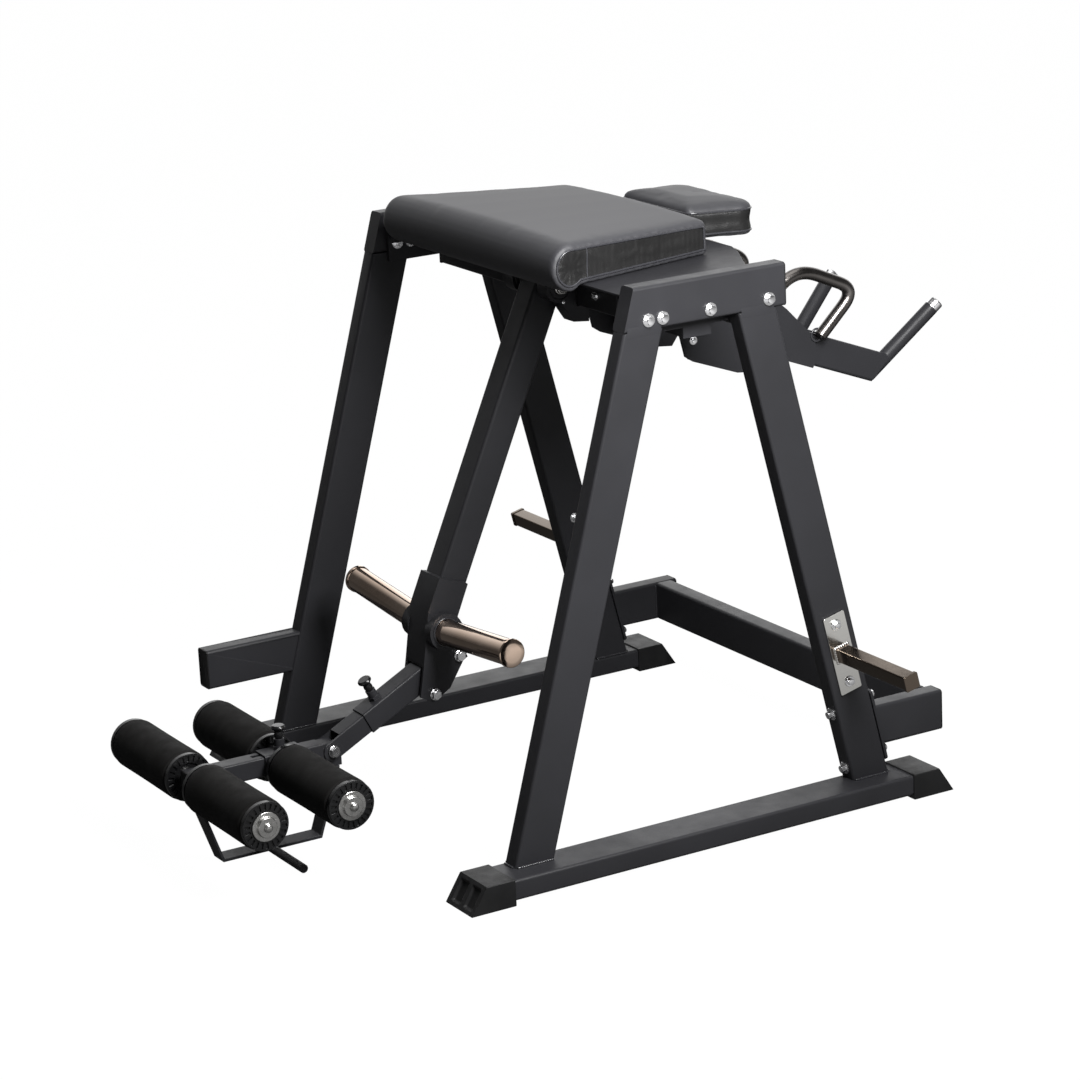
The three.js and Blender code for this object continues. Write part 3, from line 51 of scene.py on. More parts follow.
# The camera that took the photograph
CAMERA_PLACE = (5.69907, -3.49897, 2.39545)
CAMERA_YAW = 60.1304
CAMERA_PITCH = -16.208
CAMERA_ROLL = -2.7905
CAMERA_FOCAL_SHARE = 3551.124 / 1080
SENSOR = 0.036

# Frame
FRAME_HALF = 0.490
TUBE_WIDTH = 0.040
TUBE_DEPTH = 0.080
TUBE_CORNER = 0.006
BASE_TOP = 0.048
FRAME_TOP = 1.070
BOLT_HEIGHT = 1.008
BEAM_PLATE_INNER = 0.442
TABLE_BOLTS = (-0.265, -0.235, -0.134, -0.008)
FRONT_TOE = -0.6055
FRONT_LEAN = math.radians(16.26)
REAR_HEEL = 0.2465
REAR_LEAN = math.radians(13.5)
TOP_TUBE_REAR = 0.027
STEP_FRONT = -0.739
STEP_MIDDLE = 0.209
STUB_REAR = 0.361
STUB_MIDDLE = 0.146
FLANGE_FACE = 0.0061
FLANGE_BOLT_SPACING = 0.117
PEG_PLATE = (0.1317, 0.3086)
PEG_PLATE_THICKNESS = 0.004
PEG_SPLIT = 0.001
PEG_SPLIT_END = 0.0015
PEG_BOLT_SPACING = 0.120

# Feet
FOOT_INNER = 0.4435
FOOT_OUTER = 0.5405
FOOT_FRONT = -0.712
FOOT_REAR = 0.350
FOOT_LENGTH = 0.092
FOOT_HEIGHT = 0.0506
FOOT_NOSE = 0.033
FOOT_COLLAR = FOOT_LENGTH - 0.030
FOOT_EDGE = 0.0018
FOOT_RECESS = 0.006
FOOT_JOIN = 0.0001
# The nose's grid across and up, as shares of its width and height
FOOT_COLUMNS = (0, 0.12, 0.16, 0.40, 0.44, 0.56, 0.60, 0.84, 0.88, 1)
FOOT_ROWS = (0, 0.14, 0.2, 0.8, 0.86, 1)

# Fasteners
HEX = 0.0082
HEX_HEIGHT = 0.0075
WASHER = 0.0125
WASHER_THICKNESS = 0.0025
SHANK = 0.006
SMALL_SHARE = 0.68
PEG_BOLT_SHARE = 0.85
BLOCK_SCREW_SHARE = 0.4
HEX_STEPS = 36
HEX_CHAMFER_SHARE = 0.14
HEX_DOME_SHARE = 0.08
WASHER_EDGE_SHARE = 0.3
NUT_TIP_SHARE = 1.3
TIP_CHAMFER = 0.001
HANDLE_BOLT = (0.1705, 0.031, 0.869)
BLOCK_SCREW = (0.082, -0.199, 0.9635)
BEAM_BOLT = (0.151, -0.168, 0.982)

# Plugs in the ends of the tubes
CARRIAGE_TUBE = 0.038
CAP_SEAT = 0.0002
CAP_THICKNESS = 0.003
CAP_EDGE = 0.001
CAP_RIM = 0.0045
CAP_DISH = 0.006
CAP_DISH_DEPTH = 0.0008
CAP_CORNER = 0.0015
CAP_CORNER_SHARE = 0.7

# Weld beads
BEAD_PITCH = 0.0045
BEAD_STEPS = 4
BEAD_WANDER_SCALE = 60
WIDE_BEAD = 0.0026
NARROW_BEAD = 0.0022
THIN_BEAD = 0.002
BEAD_STANDOFF = 0.0015
BEAD_LIFT = 0.001
BEAD_END_GAP = 0.004
BEAD_WIDTH_SHARE = 0.8
CROSS_BEAD_FRONT = 0.3105
CROSS_BEAD_REAR = 0.3535
CROSS_BEAD_FOOT = 0.110
CROSS_BEAD_TOP = 0.182
PEG_BEAD_HALF = 0.0152
PEG_BEAD_LIFT = 0.0006
BRACKET_BEAD = ((0.031, -0.452, 0.452), (0.031, -0.474, 0.402))
PATCH_RISE = 0.0085
PATCH_INSET = 0.001
PATCH_SPREAD = 0.0008
PATCH_LEVELS = ((-0.0008, PATCH_SPREAD), (0.0001, PATCH_SPREAD), (0.00025, 0))

# Pads
ROLL_Y = -0.320
ROLL_Z = 1.083
ROLL_DEPTH = 0.040
ROLL_HEIGHT = 0.0435
ROLL_SEAM = -0.281
PAD_VOXEL = 0.005
PAD_PRESSURE = 4.0
PAD_FRAMES = 20
PAD_QUALITY = 4
PAD_STIFFNESS = 40
PAD_GROWTH = 0.0012
PAD_SWELL = 0.0016
WELT = 0.0021
WELT_INSET = 0.0105
WELT_STEP = 0.004
WELT_POINTS = 10
WELT_SINK_SHARE = 0.3
PAD_UNDER = 1.0483
PAD_REAR = 0.023
PAD_TOP_REAR = 1.113
PAD_EDGE = 0.013
PAD_ASIDE = 0.6
SEAM_SHARE = 0.75
SEAM_SINK_SHARE = 0.1
SEAM_POINTS = 16
SIDE_FACING_SHARE = 0.6
CREASE = 0.0009
FOLD = 0.0005
FAN_FOLDS = 11
FAN_INNER = 0.02
FAN_OUTER = 0.05
HEAD_FRONT = 0.062
HEAD_TOP = 1.1105
HEAD_UNDER = 1.050
HEAD_TILT = math.radians(2.6)
HEAD_TOP_SEAM = HEAD_TOP - 0.011
HEAD_LOW_SEAM = HEAD_UNDER + 0.008
HEAD_RIPPLE = 0.0007
HEAD_ASIDE = 0.5
HEAD_WELT_POINTS = 96

# Rollers
FRONT_AXLE_Y = -0.9827
REAR_AXLE_Y = -0.8095
AXLE_Z = 0.160
ROLLER_INNER = 0.036
ROLLER_OUTER = 0.284
HUB = 0.045
FOAM = 0.0485
RING_RIBS = 22
RING_HEIGHT = 0.0035
RING_INNER = 0.0288
RING_RIM_IN = 0.0312
RING_RIM_OUT = 0.0425
RING_OUTER = 0.0462
RING_FLOOR = 0.0006
RING_DRAFT = 0.0004
RING_EDGE = 0.001
RING_SKIRT = 0.006
RIB_HALF_SHARE = 0.24
POCKET_START_SHARE = 0.27
FOAM_INSET = 0.0103
FOAM_LAP = 0.006
FOAM_EDGE = 0.0055
FOAM_WAIST = 0.0005
AXLE_END = 0.3004
AXLE_DOT = ((0.0065, -0.0005), (0.0065, 0.0012), (0.0052, 0.0024), (0.0025, 0.003))
AXLE_COLLAR_PLACE = 0.0232
AXLE_COLLAR = ((0.0165, 0), (0.0165, 0.0095), (0.0155, 0.0105), (0.0138, 0.0108))

# Bracket, horns and carriage
HORN_Y = -0.471
HORN_Z = 0.357
HORN_TILT = math.radians(5)
HORN_END = 0.305
HORN = 0.025
BRACKET_OUTER = 0.0363
HORN_RIM = HORN + 0.0021
HORN_SEAT = 0.0003
# Radius, and height from the end, of the rim and the cap
HORN_TIP = (
    (HORN, -0.0095),
    (HORN_RIM - 0.0006, -0.009),
    (HORN_RIM, -0.0082),
    (HORN_RIM, -0.0022),
    (HORN_RIM - 0.0009, -0.0007),
    (HORN_RIM - 0.0026, 0),
    (HORN * 0.7, 0.0004),
    (HORN * 0.3, 0.0006),
)
HORN_COLLAR = 0.021
HORN_BEAD = 0.0024
HORN_BEAD_REACH = HORN + 0.002
CARRIAGE_FRONT = -1.003
CARRIAGE_Z = 0.1655

# Handles
HANDLE_X = 0.144
ELBOW = (0.471, 0.742)
LOOP_X = 0.1833
LOOP = 0.0125
LOOP_ROUTE = ((0.197, 0.919), (0.253, 0.981), (0.400, 0.916), (0.314, 0.835))
LOOP_RADII = (0.085, 0.028)
GRIP_END = (0.179, 0.598, 0.861)
GRIP = 0.014
GRIP_SKIN = 0.0006
GRIP_LAP = 0.022
GRIP_CAP_LENGTH = 0.0172
GRIP_STOP = 0.0175
GRIP_CAP = (
    (GRIP + 0.0002, 0),
    (GRIP + 0.0002, 0.0145),
    (GRIP - 0.0012, 0.0165),
    (GRIP - 0.004, GRIP_CAP_LENGTH),
)
LOOP_BEAD = 0.0022
LOOP_STEP = 0.004
ROUTE_STEP = 0.01

# Studio
BACKDROP = (-0.867, 0.498, 0.0)  # from the machine to what stands behind it in the photograph
BACK_GLOSS_DARK = 0.08
BACK_GLOSS_LIGHT = 1.8
BACK_EDGE = (0.5, 0.95)
FLOOR_GLOSS_DARK = 0.05
FLOOR_GLOSS_LIGHT = 0.9
FLOOR_GLOW = 0.92
FLOOR_SHOWN = 1.08
FLOOR_COLOUR = 0.22
FLOOR_HALF = 14
FLOOR_DROP = 0.0005
FLOOR_ASIDE = (0.3, 2.7)
FLOOR_AWAY = (1.2, 2.5)
FLOOR_AWAY_SHARES = (1.3, 0.5)
WORLD_FILL = 0.06
LAMPS = (
    ("key_light", (1.75, -0.05, 1.9), (0.45, 0.0, 0.85), 0.8, 95),
    ("top_light", (0.1, 0.4, 4.2), (0.0, 0.0, 0.6), 3.0, 55),
)

# Shading of the solids: points closer than this join, and edges sharper than this stay sharp
JOIN_DISTANCE = 0.00002
SMOOTH_ANGLE = math.radians(34)
SOFT_EDGE = 0.001
SOFT_EDGE_ANGLE = math.radians(50)

# Noise below and above these shares of its range counts as its ends
NOISE_LOW_SHARE = 0.3
NOISE_HIGH_SHARE = 0.7

# Edges of a piece sharper than these, in degrees, stay sharp
FASTENER_ANGLE = 25
HORN_ANGLE = 28
TURNED_ANGLE = 30
MOULDED_ANGLE = 40
ROUND_ANGLE = 60
CLOTH_ANGLE = 180

# Points round a turned piece
TURNED_POINTS = 28
SMALL_POINTS = 20
CORD_POINTS = 8


def at(x, y, z):
    return Vector((x, y + SHIFT, z))


def sides():
    return (("right", 1), ("left", -1))


def mirrored(way, place):
    x, y, z = place
    return at(way * x, y, z)


# Materials
class Look:
    """A procedural material: a principled shader, with small helpers for its texture nodes."""

    def __init__(self, name, colour, roughness, metallic=0.0):
        self.material = bpy.data.materials.new(name)
        self.material.use_nodes = True
        self.tree = self.material.node_tree
        self.shader = self.tree.nodes["Principled BSDF"]
        self.shader.inputs["Base Color"].default_value = (*colour, 1)
        self.shader.inputs["Roughness"].default_value = roughness
        self.shader.inputs["Metallic"].default_value = metallic
        self.place = self.tree.nodes.new("ShaderNodeTexCoord").outputs["Object"]

    def node(self, kind, **settings):
        made = self.tree.nodes.new(kind)
        for key, value in settings.items():
            setattr(made, key, value)
        return made

    def stretched(self, scale, turn=(0, 0, 0)):
        mapping = self.node("ShaderNodeMapping")
        self.tree.links.new(self.place, mapping.inputs["Vector"])
        mapping.inputs["Scale"].default_value = scale
        mapping.inputs["Rotation"].default_value = turn
        return mapping.outputs["Vector"]

    def noise(self, scale, detail=3.0, rough=0.55, source=None):
        made = self.node("ShaderNodeTexNoise")
        self.tree.links.new(source or self.place, made.inputs["Vector"])
        made.inputs["Scale"].default_value = scale
        made.inputs["Detail"].default_value = detail
        made.inputs["Roughness"].default_value = rough
        return made.outputs["Fac"]

    def cells(self, scale, feature="DISTANCE_TO_EDGE", source=None):
        made = self.node("ShaderNodeTexVoronoi", feature=feature)
        self.tree.links.new(source or self.place, made.inputs["Vector"])
        made.inputs["Scale"].default_value = scale
        return made.outputs["Distance"]

    def ranged(self, value, low, high, from_low=NOISE_LOW_SHARE, from_high=NOISE_HIGH_SHARE):
        made = self.node("ShaderNodeMapRange")
        self.tree.links.new(value, made.inputs["Value"])
        made.inputs["From Min"].default_value = from_low
        made.inputs["From Max"].default_value = from_high
        made.inputs["To Min"].default_value = low
        made.inputs["To Max"].default_value = high
        return made.outputs["Result"]

    def blend(self, value, dark, light):
        ramp = self.node("ShaderNodeValToRGB")
        self.tree.links.new(value, ramp.inputs["Fac"])
        ramp.color_ramp.elements[0].position = NOISE_LOW_SHARE
        ramp.color_ramp.elements[1].position = NOISE_HIGH_SHARE
        ramp.color_ramp.elements[0].color = (*dark, 1)
        ramp.color_ramp.elements[1].color = (*light, 1)
        self.tree.links.new(ramp.outputs["Color"], self.shader.inputs["Base Color"])

    def rough(self, value, low, high):
        self.tree.links.new(self.ranged(value, low, high), self.shader.inputs["Roughness"])

    def bump(self, heights):
        """heights is a list of (socket, distance, strength), laid over each other."""
        last = None
        for socket, distance, strength in heights:
            made = self.node("ShaderNodeBump")
            made.inputs["Distance"].default_value = distance
            made.inputs["Strength"].default_value = strength
            self.tree.links.new(socket, made.inputs["Height"])
            if last:
                self.tree.links.new(last, made.inputs["Normal"])
            last = made.outputs["Normal"]
        self.tree.links.new(last, self.shader.inputs["Normal"])

    def set(self, name, value):
        self.shader.inputs[name].default_value = value


def powder_coat():
    look = Look("powder_coat", (0.021, 0.021, 0.0235), 0.42)
    look.blend(look.noise(3.5), (0.0185, 0.0185, 0.0205), (0.0245, 0.0245, 0.0275))
    look.rough(look.noise(22, 4), 0.36, 0.47)
    look.bump([(look.noise(650, 2), 0.0004, 0.35), (look.noise(90, 2), 0.0008, 0.12)])
    look.set("Specular IOR Level", 0.22)
    return look.material


def weld_paint():
    look = Look("weld_paint", (0.024, 0.024, 0.027), 0.24)
    look.rough(look.noise(120), 0.14, 0.3)
    look.bump([(look.noise(420, 2), 0.0006, 0.4)])
    return look.material


def smooth_leather():
    look = Look("smooth_leather", (0.011, 0.0108, 0.0108), 0.4)
    look.blend(look.noise(9, 4), (0.0088, 0.0086, 0.0086), (0.0135, 0.0133, 0.0133))
    look.rough(look.noise(16, 5), 0.34, 0.48)
    grain = look.ranged(look.cells(620), 0.0, 1.0, 0.0, 0.3)
    look.bump([(grain, 0.0003, 0.5), (look.noise(60, 3), 0.0012, 0.18)])
    look.set("Specular IOR Level", 0.36)
    return look.material


def crinkled_leather():
    # The side band is the pad's own leather. Its darker, bluer colour is painted shade and a painted bluish
    # sheen of the sides, laid over its real crinkles.
    look = Look("crinkled_leather", (0.0085, 0.0088, 0.0112), 0.3)
    look.blend(look.noise(14, 4), (0.0042, 0.0044, 0.0062), (0.0085, 0.009, 0.0122))
    look.rough(look.noise(30, 5), 0.2, 0.38)
    folds = look.noise(40, 4, 0.65, look.stretched((1.0, 3.0, 0.4)))
    creases = look.noise(150, 3, 0.6, look.stretched((1.0, 2.0, 0.4)))
    look.bump([(folds, 0.012, 1.0), (creases, 0.004, 0.9), (look.cells(500), 0.0004, 0.4)])
    look.set("Specular IOR Level", 0.36)
    return look.material


def welt_leather():
    # The piping is the pad's own leather. Its lighter colour is a painted highlight along the welts.
    look = Look("welt_leather", (0.03, 0.03, 0.034), 0.24)
    look.rough(look.noise(60), 0.18, 0.32)
    look.bump([(look.noise(700, 2), 0.0003, 0.4)])
    look.set("Specular IOR Level", 0.7)
    return look.material


def roller_foam():
    look = Look("roller_foam", (0.0078, 0.0074, 0.0072), 0.8)
    look.blend(look.noise(8), (0.0062, 0.0059, 0.0057), (0.0102, 0.0098, 0.0095))
    look.rough(look.noise(30), 0.7, 0.86)
    look.bump([(look.noise(1300, 2), 0.0004, 0.5), (look.noise(120, 2), 0.0008, 0.15)])
    look.set("Specular IOR Level", 0.12)
    return look.material


def moulded_plastic():
    look = Look("moulded_plastic", (0.0088, 0.0088, 0.0092), 0.5)
    look.blend(look.noise(12), (0.0072, 0.0072, 0.0075), (0.0115, 0.0115, 0.012))
    look.rough(look.noise(40), 0.42, 0.56)
    look.bump([(look.noise(900, 2), 0.0004, 0.5)])
    look.set("Specular IOR Level", 0.3)
    return look.material


def glossy_plastic():
    look = Look("glossy_plastic", (0.0075, 0.0075, 0.008), 0.22)
    look.rough(look.noise(50), 0.18, 0.3)
    look.bump([(look.noise(500, 2), 0.0002, 0.3)])
    look.set("Specular IOR Level", 0.45)
    return look.material


def polished_chrome():
    look = Look("polished_chrome", (0.56, 0.44, 0.36), 0.1, 1.0)
    look.blend(look.noise(5), (0.5, 0.375, 0.29), (0.63, 0.505, 0.42))
    look.rough(look.noise(60, 5), 0.07, 0.15)
    look.bump([(look.noise(300, 3, 0.6, look.stretched((0.1, 1, 1))), 0.0001, 0.12)])
    return look.material


def plated_steel():
    look = Look("plated_steel", (0.66, 0.64, 0.61), 0.28, 1.0)
    look.blend(look.noise(16, 5), (0.6, 0.58, 0.55), (0.76, 0.74, 0.72))
    look.rough(look.noise(70, 5), 0.2, 0.34)
    look.bump([(look.noise(420, 3), 0.0001, 0.15)])
    return look.material


def peg_chrome():
    """Brown chrome on the peg and pale plating on its plate, told apart by the distance from the middle."""
    look = Look("peg_chrome", (0.15, 0.12, 0.095), 0.16, 1.0)
    split = look.node("ShaderNodeSeparateXYZ")
    look.tree.links.new(look.place, split.inputs[0])
    distance = look.node("ShaderNodeMath", operation="ABSOLUTE")
    look.tree.links.new(split.outputs["X"], distance.inputs[0])
    plate = FRAME_HALF + PEG_PLATE_THICKNESS
    beyond = look.ranged(distance.outputs[0], 0.0, 1.0, plate + PEG_SPLIT, plate + PEG_SPLIT_END)
    look.blend(beyond, (0.74, 0.73, 0.7), (0.15, 0.12, 0.095))
    look.rough(look.noise(60, 4), 0.14, 0.24)
    look.bump([(look.noise(300, 2), 0.0001, 0.12)])
    return look.material


def bright_zinc():
    look = Look("bright_zinc", (0.8, 0.8, 0.81), 0.24, 1.0)
    look.blend(look.noise(40, 4), (0.7, 0.7, 0.71), (0.88, 0.88, 0.89))
    look.rough(look.noise(120, 4), 0.18, 0.32)
    look.bump([(look.noise(600, 3), 0.0002, 0.3)])
    return look.material


def machined_cap():
    look = Look("machined_cap", (0.58, 0.575, 0.56), 0.28, 1.0)
    look.blend(look.noise(60, 4), (0.5, 0.495, 0.48), (0.66, 0.655, 0.64))
    look.rough(look.noise(90, 4), 0.22, 0.34)
    look.bump([(look.noise(500, 3), 0.0002, 0.25)])
    return look.material


def brushed_stainless():
    look = Look("brushed_stainless", (0.17, 0.158, 0.15), 0.26, 1.0)
    look.blend(look.noise(7), (0.13, 0.12, 0.113), (0.21, 0.197, 0.188))
    look.rough(look.noise(140, 4, 0.6, look.stretched((1, 0.2, 0.2))), 0.2, 0.32)
    look.bump([(look.noise(900, 2, 0.6, look.stretched((1, 0.12, 0.12))), 0.0001, 0.4)])
    return look.material


PAINT = powder_coat()
WELD = weld_paint()
LEATHER = smooth_leather()
BAND = crinkled_leather()
PIPING = welt_leather()
FOAM_LOOK = roller_foam()
PLASTIC = moulded_plastic()
GLOSS = glossy_plastic()
CHROME = polished_chrome()
NICKEL = plated_steel()
PEG = peg_chrome()
ZINC = bright_zinc()
CAP = machined_cap()
STAINLESS = brushed_stainless()


# Mesh helpers
def piece(name, mesh, material, body, angle=35):
    mesh.materials.append(material)
    mesh.shade_smooth()
    mesh.set_sharp_from_angle(angle=math.radians(angle))
    made = bpy.data.objects.new(name, mesh)
    bpy.context.scene.collection.objects.link(made)
    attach(made, body)
    return made


def mesh_from(name, points, faces):
    mesh = bpy.data.meshes.new(name)
    mesh.from_pydata([tuple(point) for point in points], [], faces)
    mesh.update()
    return mesh


def joined(name, parts):
    """One mesh from several (points, faces) parts."""
    points = []
    faces = []
    for part_points, part_faces in parts:
        base = len(points)
        points.extend(part_points)
        faces.extend([tuple(base + i for i in face) for face in part_faces])
    return mesh_from(name, points, faces)


def basis(direction):
    return Vector(direction).normalized().to_track_quat("Z", "Y").to_matrix().to_4x4()


def placed(part, origin, direction, spin=0.0):
    points, faces = part
    matrix = Matrix.Translation(origin) @ basis(direction) @ Matrix.Rotation(spin, 4, "Z")
    return [matrix @ Vector(point) for point in points], faces


def rings_part(rings, close_start=True, close_end=True, loop=False):
    """Skins rings of equal count. Rings run along the piece, points round it."""
    count = len(rings[0])
    points = [point for ring in rings for point in ring]
    faces = []
    runs = len(rings) if loop else len(rings) - 1
    for r in range(runs):
        for i in range(count):
            a = r * count + i
            b = r * count + (i + 1) % count
            far = ((r + 1) % len(rings)) * count
            faces.append((a, b, far + (i + 1) % count, far + i))
    if close_start and not loop:
        faces.append(tuple(reversed(range(count))))
    if close_end and not loop:
        faces.append(tuple(range(len(points) - count, len(points))))
    return points, faces


def lathe_part(profile, count=32):
    """profile is (radius, height) pairs about +Z."""
    rings = []
    for radius, height in profile:
        turns = [2 * math.pi * i / count for i in range(count)]
        rings.append([Vector((radius * math.cos(t), radius * math.sin(t), height)) for t in turns])
    return rings_part(rings)


def hex_part(radius, height, dome=0.0):
    """A hexagon head with its round chamfer on top."""
    sixth = math.pi / 3
    flats = radius * math.cos(sixth / 2)
    chamfer = height * HEX_CHAMFER_SHARE
    # Each level: its height, and how far it may reach as a share of the radius
    levels = ((0, 1), (height - chamfer, 0.985), (height, 0.9), (height + dome, 0.55))
    rings = []
    for level, limit_share in levels:
        ring = []
        for i in range(HEX_STEPS):
            turn = 2 * math.pi * i / HEX_STEPS
            reach = flats / math.cos((turn + sixth / 2) % sixth - sixth / 2)
            r = min(reach, radius * limit_share)
            ring.append(Vector((r * math.cos(turn), r * math.sin(turn), level)))
        rings.append(ring)
    return rings_part(rings)


def washer_part(radius, thickness):
    edge = thickness * WASHER_EDGE_SHARE
    profile = [(radius, 0), (radius, thickness - edge), (radius - edge, thickness)]
    return lathe_part(profile, TURNED_POINTS)


def fastener(name, place, direction, body, size=1.0, spin=0.0, washer=True):
    """A washer and a hexagon head that stand on a face. The size is a share of the large ones."""
    direction = Vector(direction).normalized()
    base = Vector(place)
    parts = []
    if washer:
        lift = WASHER_THICKNESS * size
        parts.append(placed(washer_part(WASHER * size, lift), base, direction))
        base = base + direction * lift
    height = HEX_HEIGHT * size
    head = hex_part(HEX * size, height, height * HEX_DOME_SHARE)
    parts.append(placed(head, base, direction, spin))
    return piece(name, joined(name, parts), ZINC, body, FASTENER_ANGLE)


def nut(name, place, direction, body, size=1.0, spin=0.0):
    """A washer and nut with the tip of the bolt standing out."""
    direction = Vector(direction).normalized()
    base = Vector(place)
    lift = WASHER_THICKNESS * size
    top = base + direction * lift
    shank = SHANK * size
    tip = HEX_HEIGHT * size * NUT_TIP_SHARE
    stub = [(shank, 0), (shank, tip - TIP_CHAMFER), (shank - TIP_CHAMFER, tip)]
    parts = [
        placed(washer_part(WASHER * size, lift), base, direction),
        placed(hex_part(HEX * size, HEX_HEIGHT * size), top, direction, spin),
        placed(lathe_part(stub, SMALL_POINTS), top, direction),
    ]
    return piece(name, joined(name, parts), ZINC, body, FASTENER_ANGLE)


def rounded_rectangle(width, height, radius, steps=4):
    across = width / 2 - radius
    up = height / 2 - radius
    points = []
    for quarter, (cx, cy) in enumerate(((across, up), (-across, up), (-across, -up), (across, -up))):
        for i in range(steps + 1):
            turn = math.radians(90 * (quarter + i / steps))
            points.append((cx + radius * math.cos(turn), cy + radius * math.sin(turn)))
    return points


def end_cap(name, centre, direction, width, height, body):
    """A plastic plug on a tube's end: a thin flange with a rounded edge and a shallow dish."""
    direction = Vector(direction)
    across = Vector((0, 0, 1)).cross(direction)
    up = direction.cross(across)
    # Each level: how far it stands off the tube, and how far it is drawn in
    levels = (
        (CAP_SEAT, 0),
        (CAP_THICKNESS - CAP_EDGE, 0),
        (CAP_THICKNESS, CAP_EDGE),
        (CAP_THICKNESS, CAP_RIM),
        (CAP_THICKNESS - CAP_DISH_DEPTH, CAP_DISH),
    )
    rings = []
    for level, inset in levels:
        corner = max(TUBE_CORNER - inset * CAP_CORNER_SHARE, CAP_CORNER)
        outline = rounded_rectangle(width - 2 * inset, height - 2 * inset, corner)
        rings.append([centre + across * a + up * b + direction * level for a, b in outline])
    return piece(name, joined(name, [rings_part(rings)]), PLASTIC, body, MOULDED_ANGLE)


def tube_part(path, radius, count=16, closed=False, radii=None):
    """A round tube along a list of points."""
    rings = []
    total = len(path)
    up = None
    for i, point in enumerate(path):
        before = path[i - 1] if i or closed else path[i]
        after = path[(i + 1) % total] if i + 1 < total or closed else path[i]
        along = (after - before).normalized()
        if up is None:
            up = along.orthogonal().normalized()
        up = (up - along * up.dot(along)).normalized()
        side = along.cross(up)
        r = radii[i] if radii else radius
        ring = []
        for k in range(count):
            turn = 2 * math.pi * k / count
            ring.append(point + up * (r * math.cos(turn)) + side * (r * math.sin(turn)))
        rings.append(ring)
    return rings_part(rings, loop=closed)


def bead(name, corners, radius, body, closed=False):
    """A weld bead: a low rippled cord along straight stretches."""
    ends = corners[1:] + ([corners[0]] if closed else [])
    path = []
    for start, end in zip(corners, ends):
        length = (end - start).length
        steps = max(2, round(length / BEAD_PITCH * BEAD_STEPS))
        path.extend(start.lerp(end, i / steps) for i in range(steps))
    if not closed:
        path.append(corners[-1])
    last = len(path) - 1
    radii = []
    for i, point in enumerate(path):
        ripple = 0.5 + 0.5 * math.sin(2 * math.pi * i / BEAD_STEPS)
        wander = noise.noise(point * BEAD_WANDER_SCALE)
        end_share = 1.0 if closed else min(1, (min(i, last - i) + 1) / BEAD_STEPS)
        width_share = (0.82 + 0.22 * ripple + 0.12 * wander) * (0.55 + 0.45 * end_share)
        radii.append(radius * width_share)
    part = tube_part(path, radius, CORD_POINTS, closed, radii)
    return piece(name, joined(name, [part]), WELD, body, ROUND_ANGLE)


def ring_bead(name, label, centre, plane, radius, cord, count, body):
    """A weld bead round a bar. The plane is the pair of directions that the ring lies in."""
    across, up = plane
    ring = []
    for k in range(count):
        turn = 2 * math.pi * k / count
        ring.append(centre + (across * math.cos(turn) + up * math.sin(turn)) * radius)
    part = tube_part(ring, cord, CORD_POINTS, True)
    return piece(name, joined(label, [part]), WELD, body, ROUND_ANGLE)


def rounded_route(points, radii, steps=10):
    """Straight stretches joined by the same curves as the solid's corners."""
    last = points[0]
    route = [last]
    for before, corner, after, radius in zip(points, points[1:], points[2:], radii):
        back = (before - corner).normalized()
        onward = (after - corner).normalized()
        reach = radius / math.tan(back.angle(onward) / 2)
        start = corner + back * reach
        end = corner + onward * reach
        pieces = max(2, round((start - last).length / ROUTE_STEP))
        route.extend(last.lerp(start, k / pieces) for k in range(1, pieces))
        for k in range(steps + 1):
            t = k / steps
            route.append(start * (1 - t) ** 2 + corner * 2 * t * (1 - t) + end * t ** 2)
        last = end
    route.append(points[-1])
    return route


# Shading of the solids that stay: joined corners, soft edges and smooth rounds
def smoothing_group():
    group = bpy.data.node_groups.new("smooth_rounds", "GeometryNodeTree")
    group.interface.new_socket("Geometry", in_out="INPUT", socket_type="NodeSocketGeometry")
    group.interface.new_socket("Geometry", in_out="OUTPUT", socket_type="NodeSocketGeometry")
    start = group.nodes.new("NodeGroupInput")
    end = group.nodes.new("NodeGroupOutput")
    merge = group.nodes.new("GeometryNodeMergeByDistance")
    merge.inputs["Distance"].default_value = JOIN_DISTANCE
    faces = group.nodes.new("GeometryNodeSetShadeSmooth")
    faces.domain = "FACE"
    edges = group.nodes.new("GeometryNodeSetShadeSmooth")
    edges.domain = "EDGE"
    angle = group.nodes.new("GeometryNodeInputMeshEdgeAngle")
    compare = group.nodes.new("FunctionNodeCompare")
    compare.operation = "LESS_THAN"
    compare.inputs["B"].default_value = SMOOTH_ANGLE
    link = group.links.new
    link(start.outputs[0], merge.inputs["Geometry"])
    link(merge.outputs["Geometry"], faces.inputs["Geometry"])
    link(faces.outputs["Geometry"], edges.inputs["Geometry"])
    link(angle.outputs["Unsigned Angle"], compare.inputs["A"])
    link(compare.outputs["Result"], edges.inputs["Shade Smooth"])
    link(edges.outputs["Geometry"], end.inputs[0])
    return group


SMOOTHING = smoothing_group()


def dress(node, material):
    made = NODES[node]
    mesh = made.data
    if "custom_normal" in mesh.attributes:
        mesh.attributes.remove(mesh.attributes["custom_normal"])
    mesh.materials.clear()
    mesh.materials.append(material)
    rounds = made.modifiers.new("rounds", "NODES")
    rounds.node_group = SMOOTHING
    soft = made.modifiers.new("soft_edges", "BEVEL")
    soft.width = SOFT_EDGE
    soft.segments = 2
    soft.limit_method = "ANGLE"
    soft.angle_limit = SOFT_EDGE_ANGLE
    soft.harden_normals = False
    weighted = made.modifiers.new("weighted", "WEIGHTED_NORMAL")
    weighted.keep_sharp = True
    return made


